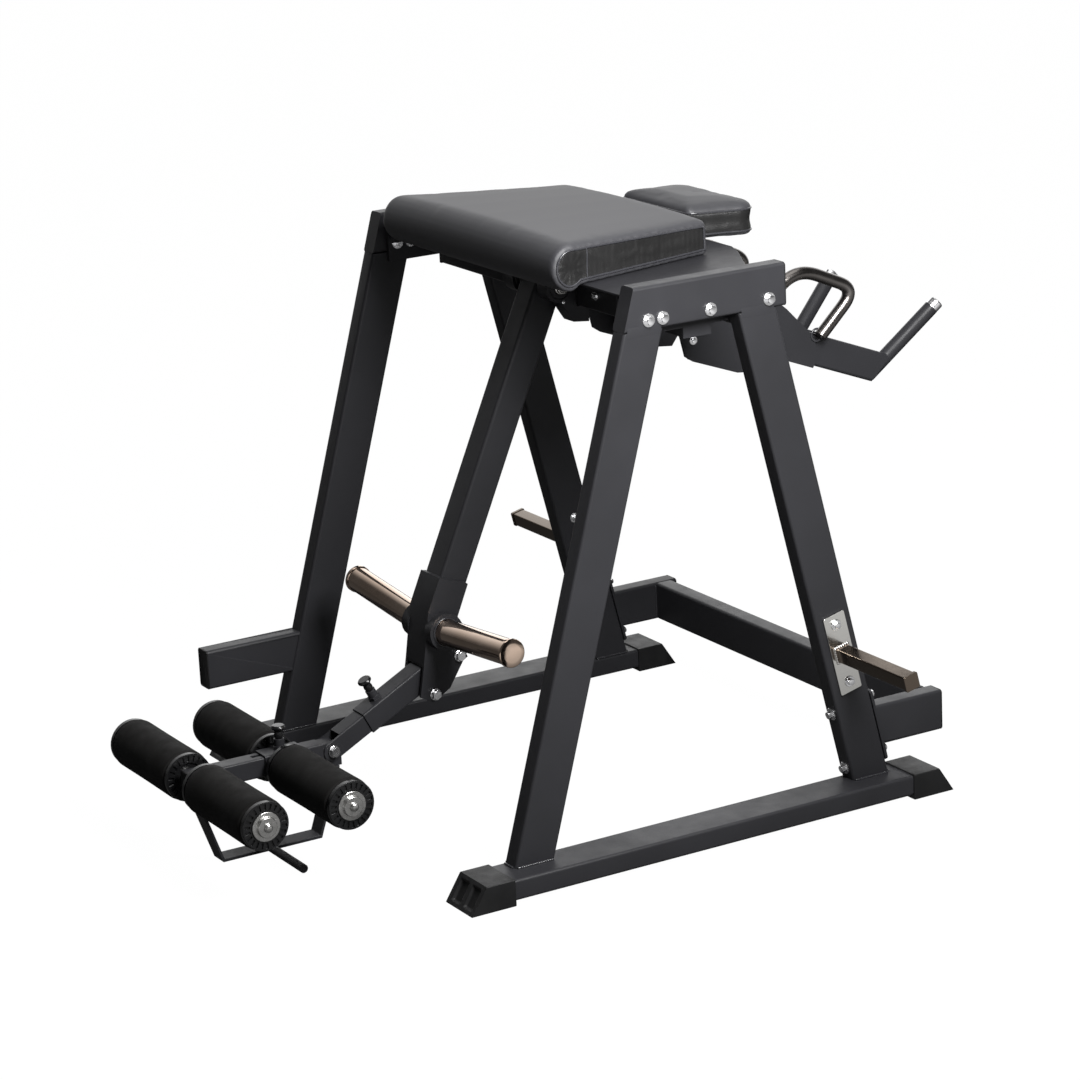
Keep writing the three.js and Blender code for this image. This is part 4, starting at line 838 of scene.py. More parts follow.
# The material of each solid; those that are not listed are painted
LOOKS = {
    "front_foot": PLASTIC,
    "rear_foot": PLASTIC,
    "main_pad": LEATHER,
    "head_pad": LEATHER,
    "weight_horn": CHROME,
    "storage_peg": PEG,
    "loop_handle": STAINLESS,
    "grip_cap": ZINC,
    "pivot_shaft": NICKEL,
    "bracket_upper_bolt": ZINC,
    "bracket_lower_bolt": ZINC,
    "carriage_pivot_bolt": ZINC,
    "front_axle": CAP,
    "rear_axle": CAP,
    "lower_arm_pin": GLOSS,
    "sleeve_pin": GLOSS,
    "front_roller_hub": GLOSS,
    "rear_roller_hub": GLOSS,
    "front_roller_foam": FOAM_LOOK,
    "rear_roller_foam": FOAM_LOOK,
}


def look_of(node):
    return LOOKS.get(node.replace("right_", "").replace("left_", ""), PAINT)


# Pads
def padded_mesh(name, node):
    """The cushion's cloth: the skin of its solid, grown a little and then blown up."""
    temp = bpy.data.objects.new(name + "_cloth", NODES[node].data.copy())
    bpy.context.scene.collection.objects.link(temp)
    bm = bmesh.new()
    bm.from_mesh(temp.data)
    bmesh.ops.remove_doubles(bm, verts=bm.verts, dist=JOIN_DISTANCE)
    bmesh.ops.recalc_face_normals(bm, faces=bm.faces)
    bm.normal_update()
    for vert in bm.verts:
        vert.co += vert.normal * PAD_GROWTH
    bm.to_mesh(temp.data)
    bm.free()
    remesh = temp.modifiers.new("remesh", "REMESH")
    remesh.mode = "VOXEL"
    remesh.voxel_size = PAD_VOXEL
    apply_all(temp)
    blow_up(temp)
    mesh = temp.data
    bpy.data.objects.remove(temp)
    mesh.update()
    return mesh


def blow_up(made):
    """Inflates the cloth for a few frames, and lets no point move further than the swell."""
    scene = bpy.context.scene
    start = [vert.co.copy() for vert in made.data.vertices]
    cloth = made.modifiers.new("cloth", "CLOTH")
    cloth.settings.use_pressure = True
    cloth.settings.uniform_pressure_force = PAD_PRESSURE
    cloth.settings.effector_weights.gravity = 0
    cloth.settings.quality = PAD_QUALITY
    cloth.settings.tension_stiffness = PAD_STIFFNESS
    cloth.settings.compression_stiffness = PAD_STIFFNESS
    for step in range(1, PAD_FRAMES + 1):
        scene.frame_set(step)
    bpy.context.view_layer.update()
    depsgraph = bpy.context.evaluated_depsgraph_get()
    result = made.evaluated_get(depsgraph).data
    blown = [vert.co.copy() for vert in result.vertices]
    made.modifiers.remove(cloth)
    scene.frame_set(1)
    for vert, before, after in zip(made.data.vertices, start, blown):
        move = after - before
        if move.length > PAD_SWELL:
            move = move.normalized() * PAD_SWELL
        vert.co = before + move


def apply_all(made):
    """Puts the result of the modifiers into the mesh."""
    bpy.context.view_layer.update()
    depsgraph = bpy.context.evaluated_depsgraph_get()
    result = bpy.data.meshes.new_from_object(made.evaluated_get(depsgraph))
    made.modifiers.clear()
    made.data = result


def smoothed(mesh):
    bm = bmesh.new()
    bm.from_mesh(mesh)
    axes = {"use_axis_x": True, "use_axis_y": True, "use_axis_z": True}
    bmesh.ops.smooth_vert(bm, verts=bm.verts, factor=0.5, **axes)
    bm.to_mesh(mesh)
    bm.free()
    mesh.update()


def surface_of(mesh):
    bm = bmesh.new()
    bm.from_mesh(mesh)
    tree = BVHTree.FromBMesh(bm)
    bm.free()
    return tree


def snapped(tree, origin, direction, sink):
    """Where the ray meets the surface, moved along the ray by the sink."""
    place = tree.ray_cast(origin, direction)[0]
    if place is None:
        return tree.find_nearest(origin)[0]
    return place + direction.normalized() * sink


def inset_outline(points, distance):
    """A closed outline in y and z, moved inwards, whichever way round its points run."""
    following = points[1:] + points[:1]
    area = sum(y0 * z1 - y1 * z0 for (y0, z0), (y1, z1) in zip(points, following))
    way = 1 if area > 0 else -1
    moved = []
    for i, (y, z) in enumerate(points):
        y0, z0 = points[i - 1]
        y1, z1 = following[i]
        ty = y1 - y0
        tz = z1 - z0
        length = math.hypot(ty, tz) or 1
        moved.append((y - way * tz / length * distance, z + way * ty / length * distance))
    return moved


def arc(y, z, across, up, start, end, steps):
    """Points of an ellipse's arc, with its two angles in degrees."""
    points = []
    for i in range(steps + 1):
        turn = math.radians(start + (end - start) * i / steps)
        points.append((y + across * math.cos(turn), z + up * math.sin(turn)))
    return points


def between(start, end, steps):
    """The points between two places, without the places themselves."""
    shares = [i / steps for i in range(1, steps)]
    return [(start[0] + (end[0] - start[0]) * s, start[1] + (end[1] - start[1]) * s) for s in shares]


def main_pad_outline():
    """The side view of the main pad in y and z, as its solid has it."""
    roll = ROLL_Y + SHIFT
    rear = PAD_REAR + SHIFT
    top = rear - PAD_EDGE
    low = PAD_EDGE / 2
    meet = math.degrees(math.asin((PAD_UNDER - ROLL_Z) / ROLL_HEIGHT))
    points = arc(roll, ROLL_Z, ROLL_DEPTH, ROLL_HEIGHT, meet, -270, 30)
    points += between((roll, ROLL_Z + ROLL_HEIGHT), (top, PAD_TOP_REAR), 24)
    points += arc(top, PAD_TOP_REAR - PAD_EDGE, PAD_EDGE, PAD_EDGE, 90, 0, 6)
    points += arc(rear - low, PAD_UNDER + low, low, low, 0, -90, 3)
    points += between((rear - low, PAD_UNDER), (ROLL_SEAM + SHIFT, PAD_UNDER), 20)
    return points


def make_main_pad():
    mesh = padded_mesh("main_cushion", "main_pad")
    smoothed(mesh)
    subdivide(mesh)
    crease_sides(mesh)
    cushion = piece("main_cushion", mesh, LEATHER, "frame", CLOTH_ANGLE)
    mesh.materials.append(BAND)
    seam = inset_outline(main_pad_outline(), WELT_INSET)
    paint_band(mesh, seam)
    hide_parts("main_pad")
    tree = surface_of(mesh)
    for side, way in sides():
        inward = Vector((-way, 0, 0))
        sink = -WELT * WELT_SINK_SHARE
        path = [snapped(tree, Vector((way * PAD_ASIDE, y, z)), inward, sink) for y, z in seam]
        welt(f"{side}_pad_welt", path)
        make_roll_seam(f"{side}_roll_seam", tree, way)


def make_roll_seam(name, tree, way):
    """The upright seam where the roll meets the flat of the pad."""
    low = PAD_UNDER + WELT_INSET
    high = ROLL_Z + ROLL_HEIGHT - WELT_INSET
    path = []
    for i in range(SEAM_POINTS):
        z = low + (high - low) * i / (SEAM_POINTS - 1)
        origin = Vector((way * PAD_ASIDE, ROLL_SEAM + SHIFT, z))
        path.append(snapped(tree, origin, Vector((-way, 0, 0)), -WELT * SEAM_SINK_SHARE))
    part = tube_part(path, WELT * SEAM_SHARE, CORD_POINTS)
    seam = piece(name, joined("seam", [part]), PIPING, "frame", CLOTH_ANGLE)


def welt(name, path):
    """A closed cord of piping on a seam of the cover."""
    part = tube_part(even(path, WELT_STEP, True), WELT, WELT_POINTS, True)
    made = piece(name, joined("welt", [part]), PIPING, "frame", CLOTH_ANGLE)


def even(path, step, closed=False):
    """The same line with points at an even step, smoothed twice."""
    points = path + ([path[0]] if closed else [])
    lengths = [0.0]
    for a, b in zip(points, points[1:]):
        lengths.append(lengths[-1] + (b - a).length)
    total = lengths[-1]
    count = max(3, round(total / step))
    result = []
    k = 0
    for i in range(count if closed else count + 1):
        goal = total * i / count
        while k + 2 < len(lengths) and lengths[k + 1] < goal:
            k += 1
        run = lengths[k + 1] - lengths[k] or 1
        share = min(1, max(0, (goal - lengths[k]) / run))
        result.append(points[k].lerp(points[k + 1], share))
    for _ in range(2):
        result = softened(result, closed)
    return result


def softened(path, closed):
    """Each point moves halfway to the middle of its neighbours; free ends stay."""
    last = len(path) - 1
    soft = []
    for i, point in enumerate(path):
        if closed or 0 < i < last:
            point = point * 0.5 + (path[i - 1] + path[(i + 1) % len(path)]) * 0.25
        soft.append(point)
    return soft


def subdivide(mesh):
    temp = bpy.data.objects.new("temp", mesh)
    bpy.context.scene.collection.objects.link(temp)
    temp.modifiers.new("finer", "SUBSURF").levels = 1
    bpy.context.view_layer.update()
    depsgraph = bpy.context.evaluated_depsgraph_get()
    finer = bpy.data.meshes.new_from_object(temp.evaluated_get(depsgraph))
    bpy.data.objects.remove(temp)
    bm = bmesh.new()
    bm.from_mesh(finer)
    bm.to_mesh(mesh)
    bm.free()
    mesh.update()


def crease_sides(mesh):
    """Fine creases of the cover on the sides, and the fan of folds on the roll's end."""
    middle = Vector((ROLL_Y + SHIFT, ROLL_Z))
    for vert in mesh.vertices:
        facing = abs(vert.normal.x)
        if facing < SIDE_FACING_SHARE:
            continue
        place = vert.co
        height = CREASE * noise.noise(Vector((place.x * 4, place.y * 110, place.z * 14)))
        if place.y < ROLL_SEAM + SHIFT:
            height += fan_fold(Vector((place.y, place.z)) - middle)
        vert.co += vert.normal * height * (facing - SIDE_FACING_SHARE) / (1 - SIDE_FACING_SHARE)
    mesh.update()


def fan_fold(flat):
    """The height of the folds that fan out from the middle of the roll's end."""
    reach = flat.length
    turn = math.atan2(flat.y, flat.x)
    wander = noise.noise(Vector((reach * 40, turn, 0)))
    fan = math.sin(turn * FAN_FOLDS + 1.5 * wander)
    return FOLD * fan * min(1, reach / FAN_INNER) * max(0, 1 - reach / FAN_OUTER)


def inside(outline, y, z):
    hit = False
    count = len(outline)
    for i in range(count):
        y0, z0 = outline[i]
        y1, z1 = outline[(i + 1) % count]
        if (z0 > z) != (z1 > z) and y < (y1 - y0) * (z - z0) / (z1 - z0) + y0:
            hit = not hit
    return hit


def paint_band(mesh, seam):
    # The side faces inside the seam get the band material, whose darker, bluer colour is painted shade and
    # sheen.
    for polygon in mesh.polygons:
        if abs(polygon.normal.x) > 0.5 and inside(seam, polygon.center.y, polygon.center.z):
            polygon.material_index = 1


def head_level(y, height):
    """A height on the head pad, which falls towards its rear."""
    return height - (y - HEAD_FRONT - SHIFT) * math.tan(HEAD_TILT)


def make_head_pad():
    mesh = padded_mesh("head_cushion", "head_pad")
    smoothed(mesh)
    subdivide(mesh)
    ripple_rim(mesh)
    cushion = piece("head_cushion", mesh, LEATHER, "frame", CLOTH_ANGLE)
    mesh.materials.append(BAND)
    # The upright band between the seams gets the band material, whose darker, bluer colour is painted shade
    # and sheen.
    for polygon in mesh.polygons:
        y = polygon.center.y
        if head_level(y, HEAD_LOW_SEAM) < polygon.center.z < head_level(y, HEAD_TOP_SEAM):
            if math.hypot(polygon.normal.x, polygon.normal.y) > 0.5:
                polygon.material_index = 1
    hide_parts("head_pad")
    tree = surface_of(mesh)
    for name, height in (("top", HEAD_TOP_SEAM), ("low", HEAD_LOW_SEAM)):
        welt(f"head_{name}_welt", head_seam(tree, height))


def ripple_rim(mesh):
    """Shallow ripples of the cover on the upright sides."""
    for vert in mesh.vertices:
        facing = math.hypot(vert.normal.x, vert.normal.y)
        if facing > SIDE_FACING_SHARE:
            place = vert.co
            ripple = noise.noise(Vector((place.x * 45, place.y * 45, place.z * 14)))
            share = (facing - SIDE_FACING_SHARE) / (1 - SIDE_FACING_SHARE)
            vert.co += vert.normal * HEAD_RIPPLE * ripple * share
    mesh.update()


def head_seam(tree, height):
    """A seam round the head pad, at a height over its sloping underside."""
    low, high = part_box("head_pad")
    middle = Vector(((low[0] + high[0]) / 2, (low[1] + high[1]) / 2, 0))
    path = []
    for i in range(HEAD_WELT_POINTS):
        turn = 2 * math.pi * i / HEAD_WELT_POINTS
        direction = Vector((math.cos(turn), math.sin(turn), 0))
        origin = middle + direction * HEAD_ASIDE
        y = origin.y
        for _ in range(3):
            origin.z = head_level(y, height)
            place = snapped(tree, origin, -direction, -WELT * WELT_SINK_SHARE)
            y = place.y
        place.z = head_level(place.y, height)
        path.append(place)
    return path


# Rollers
def make_rollers():
    for end, y in (("front", FRONT_AXLE_Y), ("rear", REAR_AXLE_Y)):
        for side, way in sides():
            body = f"{side}_{end}_roller"
            centre = at(0, y, AXLE_Z)
            axis = Vector((way, 0, 0))
            make_foam(body, centre, axis)
            for place, facing in ((ROLLER_OUTER, 1), (ROLLER_INNER, -1)):
                label = "outer" if facing == 1 else "inner"
                make_ribbed_ring(f"{body}_{label}_ring", centre + axis * place, axis * facing, body)


def make_foam(body, centre, axis):
    """The foam sleeve: rounded ends and a slight waist."""
    start = ROLLER_INNER + FOAM_INSET
    end = ROLLER_OUTER - FOAM_INSET
    bore = HUB - FOAM_LAP
    rim = FOAM - FOAM_EDGE
    profile = [(bore, start)]
    profile += arc(rim, start + FOAM_EDGE, FOAM_EDGE, FOAM_EDGE, -90, 0, 6)
    for i in range(1, 12):
        share = i / 12
        waist = FOAM_WAIST * math.sin(math.pi * share)
        profile.append((FOAM - waist, start + FOAM_EDGE + (end - start - 2 * FOAM_EDGE) * share))
    profile += arc(rim, end - FOAM_EDGE, FOAM_EDGE, FOAM_EDGE, 0, 90, 6)
    profile.append((bore, end))
    part = placed(lathe_part(profile, 64), centre, axis)
    foam = piece(f"{body}_sleeve", joined("foam", [part]), FOAM_LOOK, body, MOULDED_ANGLE)
    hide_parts(f"{body}_foam")


def make_ribbed_ring(name, centre, direction, body):
    """The ring of short ribs round a roller's end."""
    pitch = 2 * math.pi / RING_RIBS
    # Where a rib starts and ends, then the pocket after it, as shares of the pitch
    turns = (
        (-RIB_HALF_SHARE, True),
        (RIB_HALF_SHARE, True),
        (POCKET_START_SHARE, False),
        (1 - POCKET_START_SHARE, False),
    )
    samples = [((rib + share) * pitch, on_rib) for rib in range(RING_RIBS) for share, on_rib in turns]
    # Each station: its radius and height, and whether it is in the pockets
    stations = (
        (RING_INNER, 0, False),
        (RING_INNER, RING_HEIGHT, False),
        (RING_RIM_IN, RING_HEIGHT, False),
        (RING_RIM_IN + RING_DRAFT, RING_FLOOR, True),
        (RING_RIM_OUT - RING_DRAFT, RING_FLOOR, True),
        (RING_RIM_OUT, RING_HEIGHT, False),
        (RING_OUTER - RING_EDGE, RING_HEIGHT, False),
        (RING_OUTER, RING_HEIGHT - RING_EDGE, False),
        (RING_OUTER, -RING_SKIRT, False),
    )
    rings = []
    for radius, height, in_pocket in stations:
        ring = []
        for turn, on_rib in samples:
            level = RING_HEIGHT if in_pocket and on_rib else height
            ring.append(Vector((radius * math.cos(turn), radius * math.sin(turn), level)))
        rings.append(ring)
    part = placed(rings_part(rings, False, False), centre, direction)
    piece(name, joined("ring", [part]), GLOSS, body, TURNED_ANGLE)


def make_axle_caps():
    for end, y, body in (("front", FRONT_AXLE_Y, "carriage"), ("rear", REAR_AXLE_Y, "rear_sleeve")):
        for side, way in sides():
            tip = at(way * AXLE_END, y, AXLE_Z)
            part = placed(lathe_part(AXLE_DOT, 24), tip, (way, 0, 0))
            piece(f"{side}_{end}_axle_dot", joined("dot", [part]), CAP, body, TURNED_ANGLE)
            inner = at(way * AXLE_COLLAR_PLACE, y, AXLE_Z)
            part = placed(lathe_part(AXLE_COLLAR, 32), inner, (way, 0, 0))
            name = f"{side}_{end}_axle_collar"
            piece(name, joined("collar", [part]), CAP, body, TURNED_ANGLE)


# Handles
def make_loops():
    upright = (Vector((0, 1, 0)), Vector((0, 0, 1)))
    for side, way in sides():
        corners = [at(way * LOOP_X, y, z) for y, z in LOOP_ROUTE]
        path = even(rounded_route(corners, LOOP_RADII), LOOP_STEP)
        mesh = joined("loop", [tube_part(path, LOOP, TURNED_POINTS)])
        loop = piece(f"{side}_loop", mesh, STAINLESS, "frame", ROUND_ANGLE)
        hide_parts(f"{side}_loop_handle")
        for i, (y, z) in enumerate((LOOP_ROUTE[0], LOOP_ROUTE[-1])):
            centre = at(way * (LOOP_X - LOOP), y, z)
            ring_bead(f"{side}_loop_weld_{i + 1}", "weld", centre, upright, LOOP, LOOP_BEAD, 24, "frame")


def make_grips():
    for side, way in sides():
        body = f"{side}_handle"
        elbow = at(way * HANDLE_X, *ELBOW)
        end = at(way * GRIP_END[0], *GRIP_END[1:])
        along = (end - elbow).normalized()
        start = elbow - along * GRIP_LAP
        stop = end - along * GRIP_STOP
        path = [start.lerp(stop, i / 30) for i in range(31)]
        mesh = joined("grip", [tube_part(path, GRIP + GRIP_SKIN, TURNED_POINTS)])
        piece(f"{side}_grip_skin", mesh, PAINT, body, ROUND_ANGLE)
        part = placed(lathe_part(GRIP_CAP, TURNED_POINTS), end - along * GRIP_CAP_LENGTH, along)
        cap = piece(f"{side}_grip_end", joined("cap", [part]), ZINC, body, TURNED_ANGLE)
        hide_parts(f"{side}_grip_cap")


# Horns
def make_horns():
    end = HORN_END / math.cos(HORN_TILT)
    profile = [(HORN, BRACKET_OUTER + HORN_SEAT)]
    profile += [(radius, end + height) for radius, height in HORN_TIP]
    for side, way in sides():
        line = Vector((way * math.cos(HORN_TILT), 0, math.sin(HORN_TILT)))
        centre = at(0, HORN_Y, HORN_Z)
        part = placed(lathe_part(profile, 72), centre, line)
        mesh = joined("horn", [part])
        horn = piece(f"{side}_horn", mesh, CHROME, "pendulum", HORN_ANGLE)
        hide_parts(f"{side}_weight_horn")
        across = Vector((0, 1, 0))
        plane = (across, line.cross(across))
        base = centre + line * (BRACKET_OUTER + HORN_COLLAR)
        ring_bead(f"{side}_horn_bead", "bead", base, plane, HORN_BEAD_REACH, HORN_BEAD, 40, "pendulum")


# Feet
def make_feet():
    for end in ("front", "rear"):
        for side, way in sides():
            mesh = foot_mesh(way, end)
            made = piece(f"{side}_{end}_shoe", mesh, PLASTIC, "frame", MOULDED_ANGLE)
            soft = made.modifiers.new("soft", "BEVEL")
            soft.width = FOOT_EDGE
            soft.segments = 3
            soft.limit_method = "ANGLE"
            soft.angle_limit = math.radians(30)
            made.modifiers.new("even", "WEIGHTED_NORMAL")
            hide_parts(f"{side}_{end}_foot")


def foot_mesh(way, end):
    """A plastic shoe: a block round the tube, and a sloping nose with two recesses."""
    toe = FOOT_FRONT if end == "front" else FOOT_REAR
    back = 1 if end == "front" else -1
    # Each station: distance from the toe at the floor and at the top
    stations = ((FOOT_LENGTH, FOOT_LENGTH), (FOOT_COLLAR, FOOT_COLLAR), (0, FOOT_NOSE))
    rings = []
    for low, high in stations:
        corners = (
            (FOOT_INNER, low, 0),
            (FOOT_OUTER, low, 0),
            (FOOT_OUTER, high, FOOT_HEIGHT),
            (FOOT_INNER, high, FOOT_HEIGHT),
        )
        rings.append([at(way * x, toe + back * run, z) for x, run, z in corners])
    points, faces = rings_part(rings, True, False)
    inwards = Vector((0, back * FOOT_HEIGHT, -FOOT_NOSE)).normalized() * FOOT_RECESS
    base = len(points)
    for v in FOOT_ROWS:
        for u in FOOT_COLUMNS:
            low = rings[-1][0].lerp(rings[-1][1], u)
            high = rings[-1][3].lerp(rings[-1][2], u)
            in_column = 0.14 < u < 0.42 or 0.58 < u < 0.86
            recessed = in_column and 0.17 < v < 0.83
            points.append(low.lerp(high, v) + (inwards if recessed else Vector()))
    width = len(FOOT_COLUMNS)
    for row in range(len(FOOT_ROWS) - 1):
        for column in range(width - 1):
            a = base + row * width + column
            faces.append((a, a + 1, a + 1 + width, a + width))
    mesh = joined("shoe", [(points, faces)])
    bm = bmesh.new()
    bm.from_mesh(mesh)
    bmesh.ops.remove_doubles(bm, verts=bm.verts, dist=FOOT_JOIN)
    bmesh.ops.recalc_face_normals(bm, faces=bm.faces)
    bm.to_mesh(mesh)
    bm.free()
    return mesh


# Fasteners of the frame
def leg_line(way, height):
    return at(way * (FRAME_HALF - TUBE_WIDTH / 2), REAR_HEEL - height * math.tan(REAR_LEAN), height)


def make_fasteners():
    back = Vector((0, math.cos(REAR_LEAN), math.sin(REAR_LEAN)))
    up = Vector((0, -math.sin(REAR_LEAN), math.cos(REAR_LEAN)))
    for side, way in sides():
        outward = Vector((way, 0, 0))
        for i, y in enumerate(TABLE_BOLTS):
            place = at(way * FRAME_HALF, y, BOLT_HEIGHT)
            fastener(f"{side}_table_bolt_{i + 1}", place, outward, "frame", 1.0, 0.3 + i)
            place = at(way * BEAM_PLATE_INNER, y, BOLT_HEIGHT)
            nut(f"{side}_table_nut_{i + 1}", place, -outward, "frame", 1.0, 0.2 * i)
        centre = leg_line(way, STUB_MIDDLE)
        for i, half in enumerate((-FLANGE_BOLT_SPACING / 2, FLANGE_BOLT_SPACING / 2)):
            place = centre + up * half
            fastener(f"{side}_flange_bolt_{i + 1}", place - back * TUBE_DEPTH, -back, "frame", 1.0, 0.4)
            nut(f"{side}_flange_nut_{i + 1}", place + back * FLANGE_FACE, back, "frame")
        plate = at(way * (FRAME_HALF + PEG_PLATE_THICKNESS), *PEG_PLATE)
        for i, half in enumerate((-PEG_BOLT_SPACING / 2, PEG_BOLT_SPACING / 2)):
            place = plate + up * half
            fastener(f"{side}_peg_bolt_{i + 1}", place, outward, "frame", PEG_BOLT_SHARE, 0.15 + i)
            inner = place - outward * (TUBE_WIDTH + PEG_PLATE_THICKNESS)
            nut(f"{side}_peg_nut_{i + 1}", inner, -outward, "frame", PEG_BOLT_SHARE)
        place = mirrored(way, HANDLE_BOLT)
        fastener(f"{side}_handle_bolt", place, outward, "frame", SMALL_SHARE, 0.2)
        place = mirrored(way, BLOCK_SCREW)
        fastener(f"{side}_block_screw", place, outward, "frame", BLOCK_SCREW_SHARE, 0.1, False)
        fastener(f"{side}_beam_bolt", mirrored(way, BEAM_BOLT), (0, -1, 0), "frame", SMALL_SHARE)


def make_end_caps():
    for side, way in sides():
        middle = way * (FRAME_HALF - TUBE_WIDTH / 2)
        top = at(middle, TOP_TUBE_REAR, FRAME_TOP - TUBE_DEPTH / 2)
        end_cap(f"{side}_top_cap", top, (0, 1, 0), TUBE_WIDTH, TUBE_DEPTH, "frame")
        stub = at(middle, STUB_REAR, STUB_MIDDLE)
        end_cap(f"{side}_stub_cap", stub, (0, 1, 0), TUBE_WIDTH, TUBE_DEPTH, "frame")
    step = at(TUBE_WIDTH / 2 - FRAME_HALF, STEP_FRONT, STEP_MIDDLE)
    end_cap("step_cap", step, (0, -1, 0), TUBE_WIDTH, TUBE_DEPTH, "frame")
    carriage = at(0, CARRIAGE_FRONT, CARRIAGE_Z)
    end_cap("carriage_cap", carriage, (0, -1, 0), CARRIAGE_TUBE, CARRIAGE_TUBE, "carriage")


def make_welds():
    front_deep = TUBE_DEPTH / math.cos(FRONT_LEAN)
    rear_deep = TUBE_DEPTH / math.cos(REAR_LEAN)
    front = FRONT_TOE + BASE_TOP * math.tan(FRONT_LEAN)
    rear = REAR_HEEL - BASE_TOP * math.tan(REAR_LEAN)
    for side, way in sides():
        leg_beads(f"{side}_front_leg", "toe", way, front, front + front_deep, front - BEAD_STANDOFF)
        leg_beads(f"{side}_rear_leg", "heel", way, rear - rear_deep, rear, rear + BEAD_STANDOFF)
        ground_weld(f"{side}_front_leg_blend", way, FRONT_TOE, math.tan(FRONT_LEAN), front_deep)
        ground_weld(f"{side}_rear_leg_blend", way, REAR_HEEL - rear_deep, -math.tan(REAR_LEAN), rear_deep)
        inner = way * (FRAME_HALF - TUBE_WIDTH)
        for name, y in (("cross_bead", CROSS_BEAD_FRONT), ("cross_rear_bead", CROSS_BEAD_REAR)):
            ends = [at(inner, y, CROSS_BEAD_FOOT), at(inner, y, CROSS_BEAD_TOP)]
            bead(f"{side}_{name}", ends, NARROW_BEAD, "frame")
        peg_weld(side, way)
        bead(f"{side}_bracket_bead", [mirrored(way, end) for end in BRACKET_BEAD], THIN_BEAD, "pendulum")


def leg_beads(name, end_name, way, low, high, end):
    """The beads round a leg's foot: its outer side, its inner side, and its toe or heel."""
    z = BASE_TOP + BEAD_LIFT
    outer = way * (FRAME_HALF + BEAD_STANDOFF)
    inner = way * (FRAME_HALF - TUBE_WIDTH - BEAD_STANDOFF)
    for label, x, size in (("bead", outer, WIDE_BEAD), ("inner_bead", inner, NARROW_BEAD)):
        ends = [at(x, low + BEAD_END_GAP, z), at(x, high - BEAD_END_GAP, z)]
        bead(f"{name}_{label}", ends, size, "frame")
    middle = way * (FRAME_HALF - TUBE_WIDTH / 2)
    half = TUBE_WIDTH / 2 * BEAD_WIDTH_SHARE
    ends = [at(middle - half, end, z), at(middle + half, end, z)]
    bead(f"{name}_{end_name}_bead", ends, WIDE_BEAD, "frame")


def peg_weld(side, way):
    """The plated bead round a storage peg, on its plate."""
    peg = at(way * (FRAME_HALF + PEG_PLATE_THICKNESS + PEG_BEAD_LIFT), *PEG_PLATE)
    up = Vector((0, -math.sin(REAR_LEAN), math.cos(REAR_LEAN))) * PEG_BEAD_HALF
    back = Vector((0, math.cos(REAR_LEAN), math.sin(REAR_LEAN))) * PEG_BEAD_HALF
    corners = [peg + up * a + back * b for a, b in ((1, 1), (1, -1), (-1, -1), (-1, 1))]
    made = bead(f"{side}_peg_bead", corners, WIDE_BEAD, "frame", True)
    made.data.materials.clear()
    made.data.materials.append(NICKEL)


def ground_weld(name, way, foot, slope, deep):
    """A weld ground flush: a thin sheet over the joint of a leg and the top tube."""
    joint = FRAME_TOP - TUBE_DEPTH
    inset = TUBE_CORNER + PATCH_INSET
    rings = []
    for standoff, spread in PATCH_LEVELS:
        ring = []
        for front, up in ((0, -1), (1, -1), (1, 1), (0, 1)):
            z = joint + up * (PATCH_RISE + spread)
            edge = deep - inset + spread if front else inset - spread
            ring.append(at(way * (FRAME_HALF + standoff), foot + slope * z + edge, z))
        rings.append(ring)
    mesh = joined(name, [rings_part(rings)])
    return piece(name, mesh, PAINT, "frame", ROUND_ANGLE)


# Studio: the camera sees plain white, while reflections see a bright backdrop behind the
# machine and a floor that gets darker towards it and towards its head end, as in the photograph.
def make_studio():
    scene = bpy.context.scene
    scene.view_settings.view_transform = "Standard"
    world = bpy.data.worlds.new("studio")
    scene.world = world
    world.use_nodes = True
    tree = world.node_tree
    tree.nodes.clear()
    link = tree.links.new
    path = tree.nodes.new("ShaderNodeLightPath")
    place = tree.nodes.new("ShaderNodeTexCoord")
    facing = tree.nodes.new("ShaderNodeVectorMath")
    facing.operation = "DOT_PRODUCT"
    facing.inputs[1].default_value = BACKDROP
    link(place.outputs["Generated"], facing.inputs[0])
    shown = mapped(tree, facing.outputs["Value"], BACK_EDGE, (BACK_GLOSS_DARK, BACK_GLOSS_LIGHT))
    lit = switched(tree, path.outputs["Is Glossy Ray"], WORLD_FILL, shown)
    seen = tree.nodes.new("ShaderNodeMath")
    seen.operation = "MAXIMUM"
    link(path.outputs["Is Camera Ray"], seen.inputs[0])
    link(path.outputs["Is Transmission Ray"], seen.inputs[1])
    strength = switched(tree, seen.outputs[0], lit, 1.0)
    sky = tree.nodes.new("ShaderNodeBackground")
    sky.inputs["Color"].default_value = (1, 1, 1, 1)
    link(strength, sky.inputs["Strength"])
    out = tree.nodes.new("ShaderNodeOutputWorld")
    link(sky.outputs["Background"], out.inputs["Surface"])
    make_floor()
    for lamp in LAMPS:
        make_lamp(*lamp)


def mapped(tree, value, source, target):
    made = tree.nodes.new("ShaderNodeMapRange")
    tree.links.new(value, made.inputs["Value"])
    for name, number in zip(("From Min", "From Max", "To Min", "To Max"), (*source, *target)):
        made.inputs[name].default_value = number
    return made.outputs["Result"]


def switched(tree, chooser, off, on):
    """Off where the chooser is 0 and on where it is 1; each is a number or a socket."""
    made = tree.nodes.new("ShaderNodeMix")
    tree.links.new(chooser, made.inputs[0])
    for socket, value in ((made.inputs[2], off), (made.inputs[3], on)):
        if isinstance(value, (int, float)):
            socket.default_value = value
        else:
            tree.links.new(value, socket)
    return made.outputs[0]


